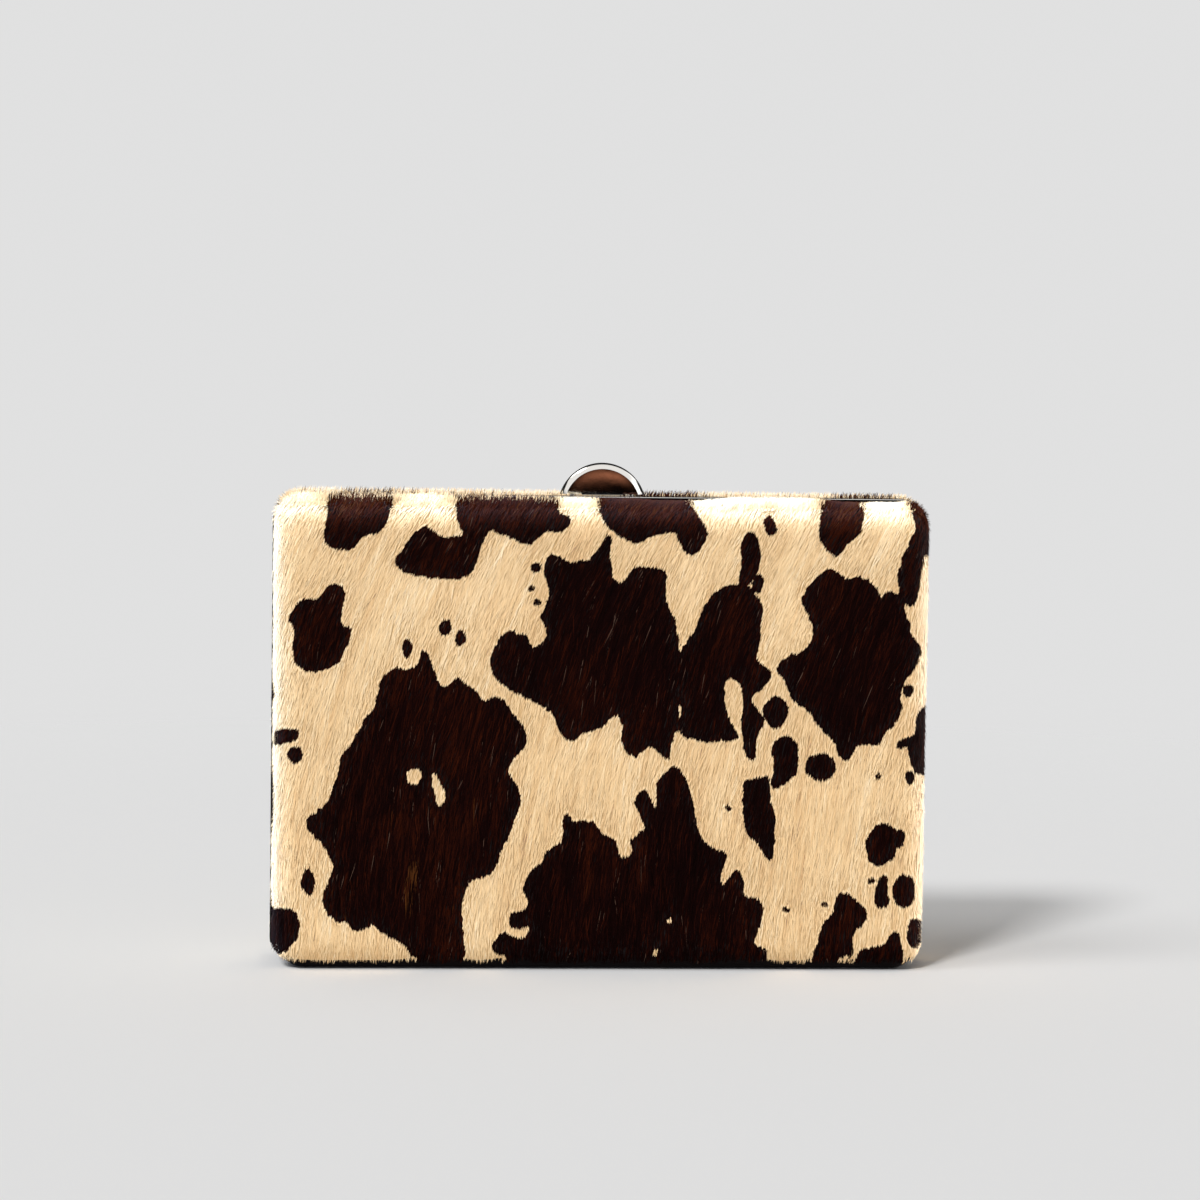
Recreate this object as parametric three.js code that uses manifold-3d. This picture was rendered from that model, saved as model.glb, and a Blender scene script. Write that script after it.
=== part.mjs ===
// Frame wallet: two shallow hide-covered covers on a hinged metal frame, closed by a half-round thumb tab.
// Millimetres, +Z up. The origin is the middle of the base, and the front faces -Y.
import * as THREE from "three";
import { mergeVertices } from "three/addons/utils/BufferGeometryUtils.js";
import Module from "manifold-3d";

const wasm = await Module();
wasm.setup();

// Driving dimensions. A depth is measured outwards from the parting plane between the two halves,
// and an inset inwards from the outline of the closed wallet seen from the front.
const wallet = { width: 125, height: 90, depth: 25, cornerRadius: 5 };
const clearance = 0.3;

// A cover is hide glued over board: a shallow tray with soft edges and a slightly padded face.
const cover = {
  wall: 2,
  edgeRadius: 5.5,
  crown: 1,
  crownReach: 28,
  cornerGrowth: 0.4, // how much rounder the corners get for each millimetre of inset
  edgeSteps: 6,
  crownSteps: 3,
};

// Each frame half is a polished bow that shows between the covers, on a flange hidden inside its cover.
const bow = { depth: 1.85, proud: 0.8, edgeRound: 0.35, cornerSteps: 6 };
const flange = { thickness: 0.9, depth: 6 };

// The two halves turn on a barrel hinge that lies in the gap between the covers along the base.
const hinge = { knuckles: 7, knuckleRadius: 1.6, pinRadius: 0.65, boreRadius: 0.9, floorGap: 0.3, sides: 16 };

// The thumb tab is a plate with a round rim, part of a disc that sinks behind the fur of the front cover.
const tab = { radius: 8.5, height: 6, plate: 1, rimRadius: 0.8, rimSides: 10, arcSteps: 24 };
const lip = { width: 8, thickness: 0.5, reach: 1.9 };
const pivot = { barrelRadius: 0.9, barrelLength: 9.4, pinRadius: 0.4, boreRadius: 0.62, setBack: 1.9, sides: 12 };
const ear = { thickness: 1, radius: 0.85, gap: 0.5 };

// Worked-out places
const bowInner = clearance / 2;
const bowOuter = bowInner + bow.depth;
const coverEdge = bowOuter + clearance;
const flangeInset = cover.wall + clearance;
const bowTop = wallet.height + bow.proud;
const hingeHeight = hinge.floorGap + hinge.knuckleRadius;
const bowFoot = hingeHeight + hinge.knuckleRadius + clearance + 0.1;
const barrelReach = wallet.width / 2 - wallet.cornerRadius + 1.7;
const tabFoot = bowTop + clearance + 0.1;
const tabTop = tabFoot + tab.height;
const tabCentre = tabTop - tab.radius;
const pivotHeight = bowTop + clearance + pivot.barrelRadius;

// Finishes
const calfHair = new THREE.MeshStandardMaterial({ color: 0xd8b684, roughness: 0.85, metalness: 0 });
const nickel = new THREE.MeshStandardMaterial({ color: 0xcac6c1, roughness: 0.15, metalness: 1 });

// The closed wallet's outline, a rounded rectangle in X and Z, brought in by an inset.
function outline(inset, radius = Math.max(wallet.cornerRadius - inset, 0.6)) {
  const across = wallet.width / 2 - inset - radius;
  const up = wallet.height / 2 - inset - radius;
  const points = [];
  [[1, 1], [-1, 1], [-1, -1], [1, -1]].forEach(([sideX, sideZ], corner) => {
    for (let step = 0; step <= bow.cornerSteps; step++) {
      const angle = ((corner + step / bow.cornerSteps) * Math.PI) / 2;
      const x = sideX * across + radius * Math.cos(angle);
      const z = wallet.height / 2 + sideZ * up + radius * Math.sin(angle);
      points.push(new THREE.Vector2(x, z));
    }
  });
  return points;
}

// A three.js geometry as a solid that can be joined and cut.
function solid(geometry) {
  const bare = geometry.clone();
  bare.deleteAttribute("normal");
  bare.deleteAttribute("uv");
  const merged = mergeVertices(bare, 1e-4);
  return new wasm.Manifold(
    new wasm.Mesh({
      numProp: 3,
      vertProperties: new Float32Array(merged.attributes.position.array),
      triVerts: new Uint32Array(merged.index.array),
    }),
  );
}

// A solid back as a geometry with flat-shaded faces.
function geometryOf(made) {
  const mesh = made.getMesh();
  const geometry = new THREE.BufferGeometry();
  geometry.setAttribute("position", new THREE.BufferAttribute(mesh.vertProperties, mesh.numProp));
  geometry.setIndex(new THREE.BufferAttribute(mesh.triVerts, 1));
  const faceted = geometry.toNonIndexed();
  faceted.computeVertexNormals();
  return faceted;
}

// A box between two corners, given as [x, y, z].
function block(low, high) {
  const size = high.map((value, axis) => value - low[axis]);
  const middle = high.map((value, axis) => (value + low[axis]) / 2);
  return solid(new THREE.BoxGeometry(...size).translate(...middle));
}

// A round bar along X.
function bar(radius, from, to, y, z, sides) {
  const geometry = new THREE.CylinderGeometry(radius, radius, to - from, sides).rotateZ(Math.PI / 2);
  return solid(geometry.translate((from + to) / 2, y, z));
}

// A flat ring that follows the outline, between two insets and two depths on the front half.
function ring(outerInset, innerInset, innerDepth, outerDepth, round = 0) {
  const shape = new THREE.Shape(outline(outerInset));
  shape.holes.push(new THREE.Path(outline(innerInset)));
  const geometry = new THREE.ExtrudeGeometry(shape, {
    depth: outerDepth - innerDepth - 2 * round,
    bevelEnabled: round > 0,
    bevelThickness: round,
    bevelSize: round,
    bevelOffset: -round,
    bevelSegments: 2,
  });
  return solid(geometry.translate(0, 0, innerDepth + round).rotateX(Math.PI / 2));
}

// The rings of one skin of a cover, from its edge at the frame over the soft edge to the middle of its face.
// offset 0 is the outer skin, and the wall thickness gives the inner one.
function skinSections(offset) {
  const face = wallet.depth / 2 - cover.crown;
  const bend = cover.edgeRadius - offset;
  const growth = (inset) => wallet.cornerRadius + cover.cornerGrowth * inset;
  const sections = [{ inset: offset, depth: coverEdge, radius: wallet.cornerRadius - offset }];
  for (let step = 0; step <= cover.edgeSteps; step++) {
    const turn = ((step / cover.edgeSteps) * Math.PI) / 2;
    sections.push({
      inset: cover.edgeRadius - bend * Math.cos(turn),
      depth: face - cover.edgeRadius + bend * Math.sin(turn),
      radius: growth(cover.edgeRadius * (1 - Math.cos(turn))) - offset * Math.cos(turn),
    });
  }
  for (let step = 1; step <= cover.crownSteps; step++) {
    const share = step / cover.crownSteps;
    const inset = cover.edgeRadius + share * (cover.crownReach - cover.edgeRadius);
    const rise = (cover.crown * (1 - Math.cos(Math.PI * share))) / 2;
    sections.push({ inset, depth: face - offset + rise, radius: growth(inset) });
  }
  return sections;
}

// One cover as a closed wall, standing in front of the parting plane.
function coverGeometry() {
  const skins = [skinSections(0), skinSections(cover.wall)];
  const positions = [];
  const triangles = [];
  const ringStarts = skins.map((sections) =>
    sections.map(({ inset, depth, radius }) => {
      const start = positions.length / 3;
      outline(inset, radius).forEach((point) => positions.push(point.x, -depth, point.y));
      return start;
    }),
  );
  const [outer, inner] = ringStarts;
  const count = outline(0).length;
  const bridge = (from, to) => {
    for (let i = 0; i < count; i++) {
      const next = (i + 1) % count;
      triangles.push(from + i, from + next, to + next, from + i, to + next, to + i);
    }
  };
  for (let i = 1; i < outer.length; i++) {
    bridge(outer[i - 1], outer[i]);
    bridge(inner[i], inner[i - 1]);
  }
  bridge(inner[0], outer[0]);
  const cap = THREE.ShapeUtils.triangulateShape(outline(cover.crownReach, skins[0].at(-1).radius), []);
  cap.forEach(([a, b, c]) => {
    triangles.push(outer.at(-1) + a, outer.at(-1) + b, outer.at(-1) + c);
    triangles.push(inner.at(-1) + a, inner.at(-1) + c, inner.at(-1) + b);
  });
  const geometry = new THREE.BufferGeometry();
  geometry.setAttribute("position", new THREE.Float32BufferAttribute(positions, 3));
  geometry.setIndex(triangles);
  const faceted = geometry.toNonIndexed();
  faceted.computeVertexNormals();
  return faceted;
}

// One half of the frame: bow, flange and hinge knuckles, standing in front of the parting plane.
// firstKnuckle is 0 or 1, because the two halves have every other knuckle.
function frameHalf(firstKnuckle) {
  const flangeTop = flangeInset + flange.thickness;
  const wide = wallet.width;
  const hingeGap = hinge.knuckleRadius + clearance + 0.05;
  const straightRun = wallet.width / 2 - wallet.cornerRadius;
  const bowRing = ring(-bow.proud, flangeTop, bowInner, bowOuter, bow.edgeRound);
  const belowBow = block([-wide, -bowOuter - 1, -wide], [wide, 1, bowFoot]);
  const flangeRing = ring(flangeInset, flangeTop, bowInner, flange.depth);
  const besideBarrel = block([-wide, -hingeGap, -wide], [wide, 1, bowFoot]);
  let half = bowRing.subtract(belowBow).add(flangeRing.subtract(besideBarrel));
  const pitch = (2 * barrelReach) / hinge.knuckles;
  for (let k = firstKnuckle; k < hinge.knuckles; k += 2) {
    const from = -barrelReach + k * pitch + clearance / 2;
    const to = from + pitch - clearance;
    const web = block(
      [Math.max(from, -straightRun), -flange.depth, flangeInset],
      [Math.min(to, straightRun), -hinge.boreRadius - clearance / 2, flangeTop],
    );
    const knuckle = bar(hinge.knuckleRadius, from, to, 0, hingeHeight, hinge.sides);
    half = half.add(knuckle).add(web);
  }
  return half.subtract(bar(hinge.boreRadius, -wide, wide, 0, hingeHeight, hinge.sides));
}

// The two ears on the back bow that carry the tab's pivot. They stand behind the parting plane.
function pivotEar(side) {
  const shape = new THREE.Shape();
  shape.moveTo(pivot.setBack - ear.radius, bowTop - bow.edgeRound);
  shape.lineTo(pivot.setBack, bowTop - bow.edgeRound);
  shape.lineTo(pivot.setBack + ear.radius, bowTop + clearance);
  shape.lineTo(pivot.setBack + ear.radius, pivotHeight);
  shape.absarc(pivot.setBack, pivotHeight, ear.radius, 0, Math.PI, false);
  const bore = new THREE.Path();
  bore.absarc(pivot.setBack, pivotHeight, pivot.boreRadius, 0, 2 * Math.PI, true);
  shape.holes.push(bore);
  const geometry = new THREE.ExtrudeGeometry(shape, {
    depth: ear.thickness,
    bevelEnabled: false,
    curveSegments: pivot.sides / 2,
  });
  const inner = pivot.barrelLength / 2 + ear.gap;
  const start = side > 0 ? inner : -inner - ear.thickness;
  return solid(geometry.applyMatrix4(
    new THREE.Matrix4().makeBasis(
      new THREE.Vector3(0, 1, 0),
      new THREE.Vector3(0, 0, 1),
      new THREE.Vector3(1, 0, 0),
    ),
  ).translate(start, 0, 0));
}

// The arc that the middle of the tab's rim follows.
class RimArc extends THREE.Curve {
  getPoint(t, target = new THREE.Vector3()) {
    const start = Math.asin((tabFoot - tabCentre) / tab.radius);
    const angle = start + t * (Math.PI - 2 * start);
    const radius = tab.radius - tab.rimRadius;
    return target.set(radius * Math.cos(angle), 0, tabCentre + radius * Math.sin(angle));
  }
}

// The tab with its rim, the lip that lies over the front bow and the barrel that turns on the back bow.
function tabGeometry() {
  const start = Math.asin((tabFoot - tabCentre) / tab.radius);
  const plateShape = new THREE.Shape();
  plateShape.absarc(0, tabCentre, tab.radius - tab.rimRadius, start, Math.PI - start, false);
  const plate = new THREE.ExtrudeGeometry(plateShape, {
    depth: tab.plate,
    bevelEnabled: false,
    curveSegments: tab.arcSteps,
  });
  const rimShape = new THREE.Shape();
  rimShape.absarc(0, 0, tab.rimRadius, 0, 2 * Math.PI, false);
  const rim = new THREE.ExtrudeGeometry(rimShape, {
    steps: tab.arcSteps,
    curveSegments: tab.rimSides,
    extrudePath: new RimArc(),
  });
  const halfBarrel = pivot.barrelLength / 2;
  const web = block(
    [-halfBarrel, 0, tabFoot + 0.1],
    [halfBarrel, pivot.setBack, pivotHeight + pivot.barrelRadius / 2],
  );
  const foot = block(
    [-lip.width / 2, -lip.reach, bowTop + clearance],
    [lip.width / 2, tab.plate / 2, bowTop + clearance + lip.thickness],
  );
  const barrel = bar(pivot.barrelRadius, -halfBarrel, halfBarrel, pivot.setBack, pivotHeight, pivot.sides);
  const bore = bar(pivot.boreRadius, -tab.radius, tab.radius, pivot.setBack, pivotHeight, pivot.sides);
  const body = solid(plate.translate(0, 0, -tab.plate / 2).rotateX(Math.PI / 2))
    .add(solid(rim))
    .add(foot)
    .add(web.add(barrel).subtract(bore));
  return geometryOf(body);
}

// A named mesh, turned half round about Z if it belongs to the back half.
function piece(name, geometry, material, atBack = false) {
  const mesh = new THREE.Mesh(geometry, material);
  mesh.name = name;
  mesh.rotation.z = atBack ? Math.PI : 0;
  return mesh;
}

const frontHalf = new THREE.Group();
frontHalf.add(piece("front_cover", coverGeometry(), calfHair));
frontHalf.add(piece("front_frame", geometryOf(frameHalf(1)), nickel));

const turnedEars = pivotEar(1).add(pivotEar(-1)).rotate([0, 0, 180]);
const backHalf = new THREE.Group();
backHalf.add(piece("back_cover", coverGeometry(), calfHair, true));
backHalf.add(piece("back_frame", geometryOf(frameHalf(0).add(turnedEars)), nickel, true));
const hingePin = bar(hinge.pinRadius, -barrelReach, barrelReach, 0, hingeHeight, hinge.sides);
backHalf.add(piece("hinge_pin", geometryOf(hingePin), nickel));
const pinReach = pivot.barrelLength / 2 + ear.gap + ear.thickness;
const claspPin = bar(pivot.pinRadius, -pinReach, pinReach, pivot.setBack, pivotHeight, pivot.sides);
backHalf.add(piece("clasp_pin", geometryOf(claspPin), nickel));

const frameWallet = new THREE.Group();
frameWallet.add(frontHalf, backHalf, piece("clasp_tab", tabGeometry(), nickel));

export default frameWallet;
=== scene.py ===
# %% [markdown]
# # A frame wallet in patched calf hair
# The wallet is two shallow covers of hide over board, hinged along the base, with a polished nickel frame
# between them and a half-round thumb tab on top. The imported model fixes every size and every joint, so this
# file only dresses it: a skin for each cover, the short hair that is combed over it, and the metal.
# Everything is in metres, +Z is up and the front faces -Y.

# %% Load the frame
import math

import bmesh
import bpy
import numpy as np
from mathutils import Matrix, Vector


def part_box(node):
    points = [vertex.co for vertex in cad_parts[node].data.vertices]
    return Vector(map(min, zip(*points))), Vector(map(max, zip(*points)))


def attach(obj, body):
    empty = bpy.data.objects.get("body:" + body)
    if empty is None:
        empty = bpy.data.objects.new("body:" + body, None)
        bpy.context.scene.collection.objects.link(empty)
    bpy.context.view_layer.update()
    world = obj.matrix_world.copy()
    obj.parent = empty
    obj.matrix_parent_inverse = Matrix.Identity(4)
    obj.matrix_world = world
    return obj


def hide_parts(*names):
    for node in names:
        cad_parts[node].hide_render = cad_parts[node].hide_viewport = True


MM = 0.001
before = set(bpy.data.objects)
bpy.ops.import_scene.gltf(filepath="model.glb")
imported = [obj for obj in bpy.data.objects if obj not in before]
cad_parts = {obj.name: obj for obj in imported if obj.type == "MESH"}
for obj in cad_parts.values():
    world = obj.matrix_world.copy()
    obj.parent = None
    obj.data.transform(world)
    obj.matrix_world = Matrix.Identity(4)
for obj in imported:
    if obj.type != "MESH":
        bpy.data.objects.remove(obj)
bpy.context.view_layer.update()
bpy.ops.object.select_all(action="DESELECT")
print("nodes", sorted(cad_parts))

# %% [markdown]
# ## Camera
# The photograph looks almost straight at the front with a long lens: from 5 degrees above, 4 degrees to the
# left, and with the camera rolled by less than a degree. One number settles the distance and lens: how many
# pixels of the picture a millimetre of the front face takes up. The camera aims at the point of that face
# that lies in the middle of the picture, so no lens shift is needed.

# %% Set up the camera
PICTURE_SIDE = 1200
PIXELS_PER_MM = 5.25
AIM_SIDE = -1.0 * MM
AIM_HEIGHT = 71.75 * MM
VIEW_TURN = math.radians(4.0)
VIEW_ELEVATION = math.radians(5.0)
VIEW_ROLL = math.radians(0.78)
VIEW_DISTANCE = 0.9
SENSOR = 36.0

front_low, front_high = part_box("front_cover")
HALF_WIDTH = front_high.x
HEIGHT = front_high.z
COVER_FACE = -front_low.y
COVER_EDGE = -front_high.y

seen_width = PICTURE_SIDE / PIXELS_PER_MM * MM
aim = Vector((AIM_SIDE, -COVER_FACE, AIM_HEIGHT))
bpy.ops.object.camera_add()
camera = bpy.context.object
camera.name = "camera"
camera.data.sensor_width = SENSOR
camera.data.lens = SENSOR * VIEW_DISTANCE / seen_width
camera.data.clip_start = 0.01
turn = Matrix.Rotation(-VIEW_TURN, 4, "Z")
tilt = Matrix.Rotation(math.pi / 2 - VIEW_ELEVATION, 4, "X")
roll = Matrix.Rotation(VIEW_ROLL, 4, "Z")
step_back = Matrix.Translation((0, 0, VIEW_DISTANCE))
camera.matrix_world = Matrix.Translation(aim) @ turn @ tilt @ roll @ step_back
bpy.context.scene.camera = camera
print("lens", round(camera.data.lens, 1), "mm, aimed", round(AIM_HEIGHT / MM, 1), "mm above the base")

# %% [markdown]
# ## Node helpers
# A material is a small graph. These helpers start one, add a node with its sockets set, or add a colour ramp
# that is already linked, so that each finish below reads as a short list of what it is made of.


# %% Define the node helpers
def new_finish(name, base, roughness, metallic=0.0, specular=0.5):
    """A new material with one Principled shader, and its node tree and that shader."""
    material = bpy.data.materials.new(name)
    material.use_nodes = True
    tree = material.node_tree
    shader = tree.nodes["Principled BSDF"]
    shader.inputs["Base Color"].default_value = (*base, 1)
    shader.inputs["Roughness"].default_value = roughness
    shader.inputs["Metallic"].default_value = metallic
    shader.inputs["Specular IOR Level"].default_value = specular
    return material, tree, shader


def add_node(tree, kind, inputs=None, **settings):
    node = tree.nodes.new(kind)
    for key, value in settings.items():
        setattr(node, key, value)
    for key, value in (inputs or {}).items():
        node.inputs[key].default_value = value
    return node


def add_ramp(tree, factor, stops):
    """A colour ramp with stops of (position, (r, g, b)), driven by a socket."""
    ramp = tree.nodes.new("ShaderNodeValToRGB")
    while len(ramp.color_ramp.elements) < len(stops):
        ramp.color_ramp.elements.new(1.0)
    for element, (position, colour) in zip(ramp.color_ramp.elements, stops):
        element.position = position
        element.color = (*colour, 1)
    tree.links.new(factor, ramp.inputs["Fac"])
    return ramp.outputs["Color"]


def grey(value):
    return (value, value, value)


print("node helpers ready")

# %% [markdown]
# ## Floor, backdrop and light
# The wallet stands on a white floor with no horizon. The floor is a disc that fades out with distance, so
# that the plain backdrop colour takes over. Two sun lamps from the front left and above make the shadow,
# one sharp and one softer. Five more lamps light only the coat: two from the front, and three that whiten
# its top and sides. Light linking keeps them off the floor and the metal, which throw no shadow from them
# either. The metal sees its own room: dark straight ahead, below and behind, with a bright panel above,
# another one on the right, and one small warm card low in front.

# %% Make the floor and the light
BACKDROP = 0.75
AMBIENT = 0.265
FLOOR_RADIUS = 0.6
FLOOR_FADE = (0.16, 0.55)
FLOOR_ALBEDO = 0.92
ROOM_FACING = [(0.018, grey(0.02)), (0.035, grey(1.0)), (0.36, grey(1.0)), (0.43, grey(0.03))]
ROOM_HEIGHT = [(0.57, grey(0.02)), (0.62, grey(1.0)), (0.90, grey(1.0)), (1.0, grey(0.7))]
ROOM_RIGHT = [(0.78, grey(0.0)), (0.86, grey(0.9))]
WARM_CARD = (0.021, -0.983, -0.183)
WARM_CARD_SQUEEZE = (0.3, 1.0, 1.0)
WARM_CARD_SIZE = [(0.006, (0.46, 0.17, 0.09)), (0.017, grey(0.0))]

bpy.ops.mesh.primitive_circle_add(vertices=96, radius=FLOOR_RADIUS, fill_type="NGON")
floor = bpy.context.object
floor.name = "floor"
floor.visible_glossy = False
floor_finish, tree, shader = new_finish("white_floor", grey(FLOOR_ALBEDO), 0.9, specular=0.0)
place = add_node(tree, "ShaderNodeTexCoord")
length = add_node(tree, "ShaderNodeVectorMath", operation="LENGTH")
fade = add_node(
    tree,
    "ShaderNodeMapRange",
    {"From Min": FLOOR_FADE[0], "From Max": FLOOR_FADE[1]},
    interpolation_type="SMOOTHSTEP",
)
clear = add_node(tree, "ShaderNodeBsdfTransparent")
mix = add_node(tree, "ShaderNodeMixShader")
tree.links.new(place.outputs["Object"], length.inputs[0])
tree.links.new(length.outputs["Value"], fade.inputs["Value"])
tree.links.new(fade.outputs["Result"], mix.inputs["Fac"])
tree.links.new(shader.outputs["BSDF"], mix.inputs[1])
tree.links.new(clear.outputs["BSDF"], mix.inputs[2])
tree.links.new(mix.outputs["Shader"], tree.nodes["Material Output"].inputs["Surface"])
floor.data.materials.append(floor_finish)

world = bpy.data.worlds.new("studio")
bpy.context.scene.world = world
world.use_nodes = True
tree = world.node_tree
rays = add_node(tree, "ShaderNodeLightPath")
direction = add_node(tree, "ShaderNodeTexCoord")
split = add_node(tree, "ShaderNodeSeparateXYZ")
tree.links.new(direction.outputs["Generated"], split.inputs["Vector"])
spans = {}
for axis in ("X", "Y", "Z"):
    spans[axis] = add_node(tree, "ShaderNodeMapRange", {"From Min": -1.0, "From Max": 1.0})
    tree.links.new(split.outputs[axis], spans[axis].inputs["Value"])
both = add_node(tree, "ShaderNodeMix", {"Factor": 1.0}, data_type="RGBA", blend_type="ADD")
tree.links.new(add_ramp(tree, spans["Z"].outputs["Result"], ROOM_HEIGHT), both.inputs["A"])
tree.links.new(add_ramp(tree, spans["X"].outputs["Result"], ROOM_RIGHT), both.inputs["B"])
panels = add_node(tree, "ShaderNodeMix", {"Factor": 1.0}, data_type="RGBA", blend_type="MULTIPLY")
tree.links.new(add_ramp(tree, spans["Y"].outputs["Result"], ROOM_FACING), panels.inputs["A"])
tree.links.new(both.outputs["Result"], panels.inputs["B"])
off_card = add_node(tree, "ShaderNodeVectorMath", {1: WARM_CARD}, operation="DISTANCE")
squeezed = add_node(tree, "ShaderNodeVectorMath", {1: WARM_CARD_SQUEEZE}, operation="MULTIPLY")
tree.links.new(direction.outputs["Generated"], squeezed.inputs[0])
tree.links.new(squeezed.outputs["Vector"], off_card.inputs[0])
warmed = add_node(tree, "ShaderNodeMix", {"Factor": 1.0}, data_type="RGBA", blend_type="ADD")
tree.links.new(panels.outputs["Result"], warmed.inputs["A"])
tree.links.new(add_ramp(tree, off_card.outputs["Value"], WARM_CARD_SIZE), warmed.inputs["B"])
room = add_node(tree, "ShaderNodeMix", {"A": (*grey(AMBIENT), 1)}, data_type="RGBA")
seen = add_node(tree, "ShaderNodeMix", {"B": (*grey(BACKDROP), 1)}, data_type="RGBA")
tree.links.new(rays.outputs["Is Glossy Ray"], room.inputs["Factor"])
tree.links.new(warmed.outputs["Result"], room.inputs["B"])
tree.links.new(rays.outputs["Is Camera Ray"], seen.inputs["Factor"])
tree.links.new(room.outputs["Result"], seen.inputs["A"])
tree.links.new(seen.outputs["Result"], tree.nodes["Background"].inputs["Color"])
bpy.context.scene.view_settings.view_transform = "Standard"

WHITE = (1.0, 1.0, 1.0)
COOL = (0.55, 0.74, 1.0)
SUNS = [
    {"name": "key_light", "towards": (0.56, 0.94, -1.00), "strength": 1.65, "angle": 12, "colour": WHITE},
    {"name": "key_edge", "towards": (0.70, 0.38, -1.00), "strength": 0.71, "angle": 27, "colour": WHITE},
    {"name": "front_fill", "towards": (0.05, 1.00, -0.55), "strength": 0.45, "angle": 40, "colour": WHITE},
    {"name": "face_light", "towards": (-0.10, 1.00, -0.25), "strength": 0.63, "angle": 40, "colour": WHITE},
    {"name": "top_rim", "towards": (0.05, -0.38, -1.00), "strength": 11.5, "angle": 40, "colour": COOL},
    {"name": "left_rim", "towards": (1.00, -0.35, -0.20), "strength": 6.6, "angle": 60, "colour": COOL},
    {"name": "right_rim", "towards": (-1.00, -0.20, -0.20), "strength": 5.2, "angle": 60, "colour": WHITE},
]
COAT_LAMPS = ("front_fill", "face_light", "top_rim", "left_rim", "right_rim")
spared_by = {}
for sun in SUNS:
    bpy.ops.object.light_add(type="SUN", location=(0, 0, 1))
    lamp = bpy.context.object
    lamp.name = sun["name"]
    lamp.data.energy = sun["strength"]
    lamp.data.angle = math.radians(sun["angle"])
    lamp.data.color = sun["colour"]
    lamp.rotation_euler = Vector(sun["towards"]).to_track_quat("-Z", "Y").to_euler()
    if sun["name"] in COAT_LAMPS:
        spared_by[sun["name"]] = bpy.data.collections.new("spared_by_" + sun["name"])
        lamp.light_linking.receiver_collection = spared_by[sun["name"]]
        lamp.light_linking.blocker_collection = spared_by[sun["name"]]


def keep_light_off(piece, lamps):
    """Light linking: the named lamps pass a piece by, and it throws no shadow from them."""
    for name in lamps:
        spared_by[name].objects.link(piece)
        spared_by[name].collection_objects[-1].light_linking.link_state = "EXCLUDE"


keep_light_off(floor, COAT_LAMPS)
print("lights", [sun["name"] for sun in SUNS])

# %% [markdown]
# ## Modelling helpers
# Most pieces start as a primitive and are shaped in edit mode. An operator works on what is selected, so
# these helpers select edges or faces by a test on their place, or set a modifier and apply it.


# %% Define the modelling helpers
def select_only(piece):
    bpy.ops.object.select_all(action="DESELECT")
    piece.select_set(True)
    bpy.context.view_layer.objects.active = piece


def start_edit(piece):
    select_only(piece)
    bpy.ops.object.mode_set(mode="EDIT")


def end_edit():
    bpy.ops.object.mode_set(mode="OBJECT")


def select_edges(piece, wanted):
    """In edit mode, selects the edges whose two ends pass a test."""
    bpy.ops.mesh.select_mode(type="EDGE")
    bpy.ops.mesh.select_all(action="DESELECT")
    mesh = bmesh.from_edit_mesh(piece.data)
    for edge in mesh.edges:
        if wanted(edge.verts[0].co, edge.verts[1].co):
            edge.select_set(True)
    bmesh.update_edit_mesh(piece.data)


def select_faces(piece, wanted):
    """In edit mode, selects the faces whose centre and normal pass a test."""
    bpy.ops.mesh.select_mode(type="FACE")
    bpy.ops.mesh.select_all(action="DESELECT")
    mesh = bmesh.from_edit_mesh(piece.data)
    for face in mesh.faces:
        if wanted(face.calc_center_median(), face.normal):
            face.select_set(True)
    bmesh.update_edit_mesh(piece.data)


def face_outward():
    """In edit mode, turns all faces of a piece outward."""
    bpy.ops.mesh.select_all(action="SELECT")
    bpy.ops.mesh.normals_make_consistent(inside=False)


def apply_modifier(piece, kind, **settings):
    select_only(piece)
    modifier = piece.modifiers.new(kind.lower(), kind)
    for key, value in settings.items():
        setattr(modifier, key, value)
    bpy.ops.object.modifier_apply(modifier=modifier.name)


def add_block(name, low, high):
    """A box between two corners, with its place in its mesh."""
    centre = [(a + b) / 2 for a, b in zip(low, high)]
    size = [b - a for a, b in zip(low, high)]
    bpy.ops.object.select_all(action="DESELECT")
    bpy.ops.mesh.primitive_cube_add(size=1, location=centre, scale=size)
    piece = bpy.context.object
    piece.name = name
    bpy.ops.object.transform_apply(location=True, rotation=True, scale=True)
    return piece


def fuse(piece, others):
    """Joins other solids onto a piece as one closed solid, and removes them."""
    for other in others:
        apply_modifier(piece, "BOOLEAN", operation="UNION", solver="EXACT", object=other)
        bpy.data.objects.remove(other)
    return piece


def triangles(piece):
    piece.data.calc_loop_triangles()
    return len(piece.data.loop_triangles)


print("modelling helpers ready")

# %% [markdown]
# ## The hide as a flat sheet
# Patches and hair belong to the hide, and the hide is one sheet drawn over the face and round the edges. So
# both are laid out on the flat sheet: u runs across and v runs up, and past the flat of the face they go on
# along the rounded edge and then along the side wall. One function bends a point of the sheet onto the
# cover, and a second one goes the other way, from a point of the cover back to the sheet.

# %% Define the sheet
HAIR_LAYER = 0.45 * MM
EDGE_RADIUS = 5.0 * MM
CROWN = 1.0 * MM
CROWN_RUN = 24.0 * MM
HALF_HEIGHT = HEIGHT / 2
SKIN_HALF_WIDTH = HALF_WIDTH - HAIR_LAYER
SKIN_HALF_HEIGHT = HALF_HEIGHT - HAIR_LAYER
SKIN_FACE = COVER_FACE - CROWN - HAIR_LAYER
FLAT_U = SKIN_HALF_WIDTH - EDGE_RADIUS
FLAT_V = SKIN_HALF_HEIGHT - EDGE_RADIUS
QUARTER_ARC = EDGE_RADIUS * math.pi / 2
SHEET_EDGE = QUARTER_ARC + SKIN_FACE - EDGE_RADIUS - COVER_EDGE


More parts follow.
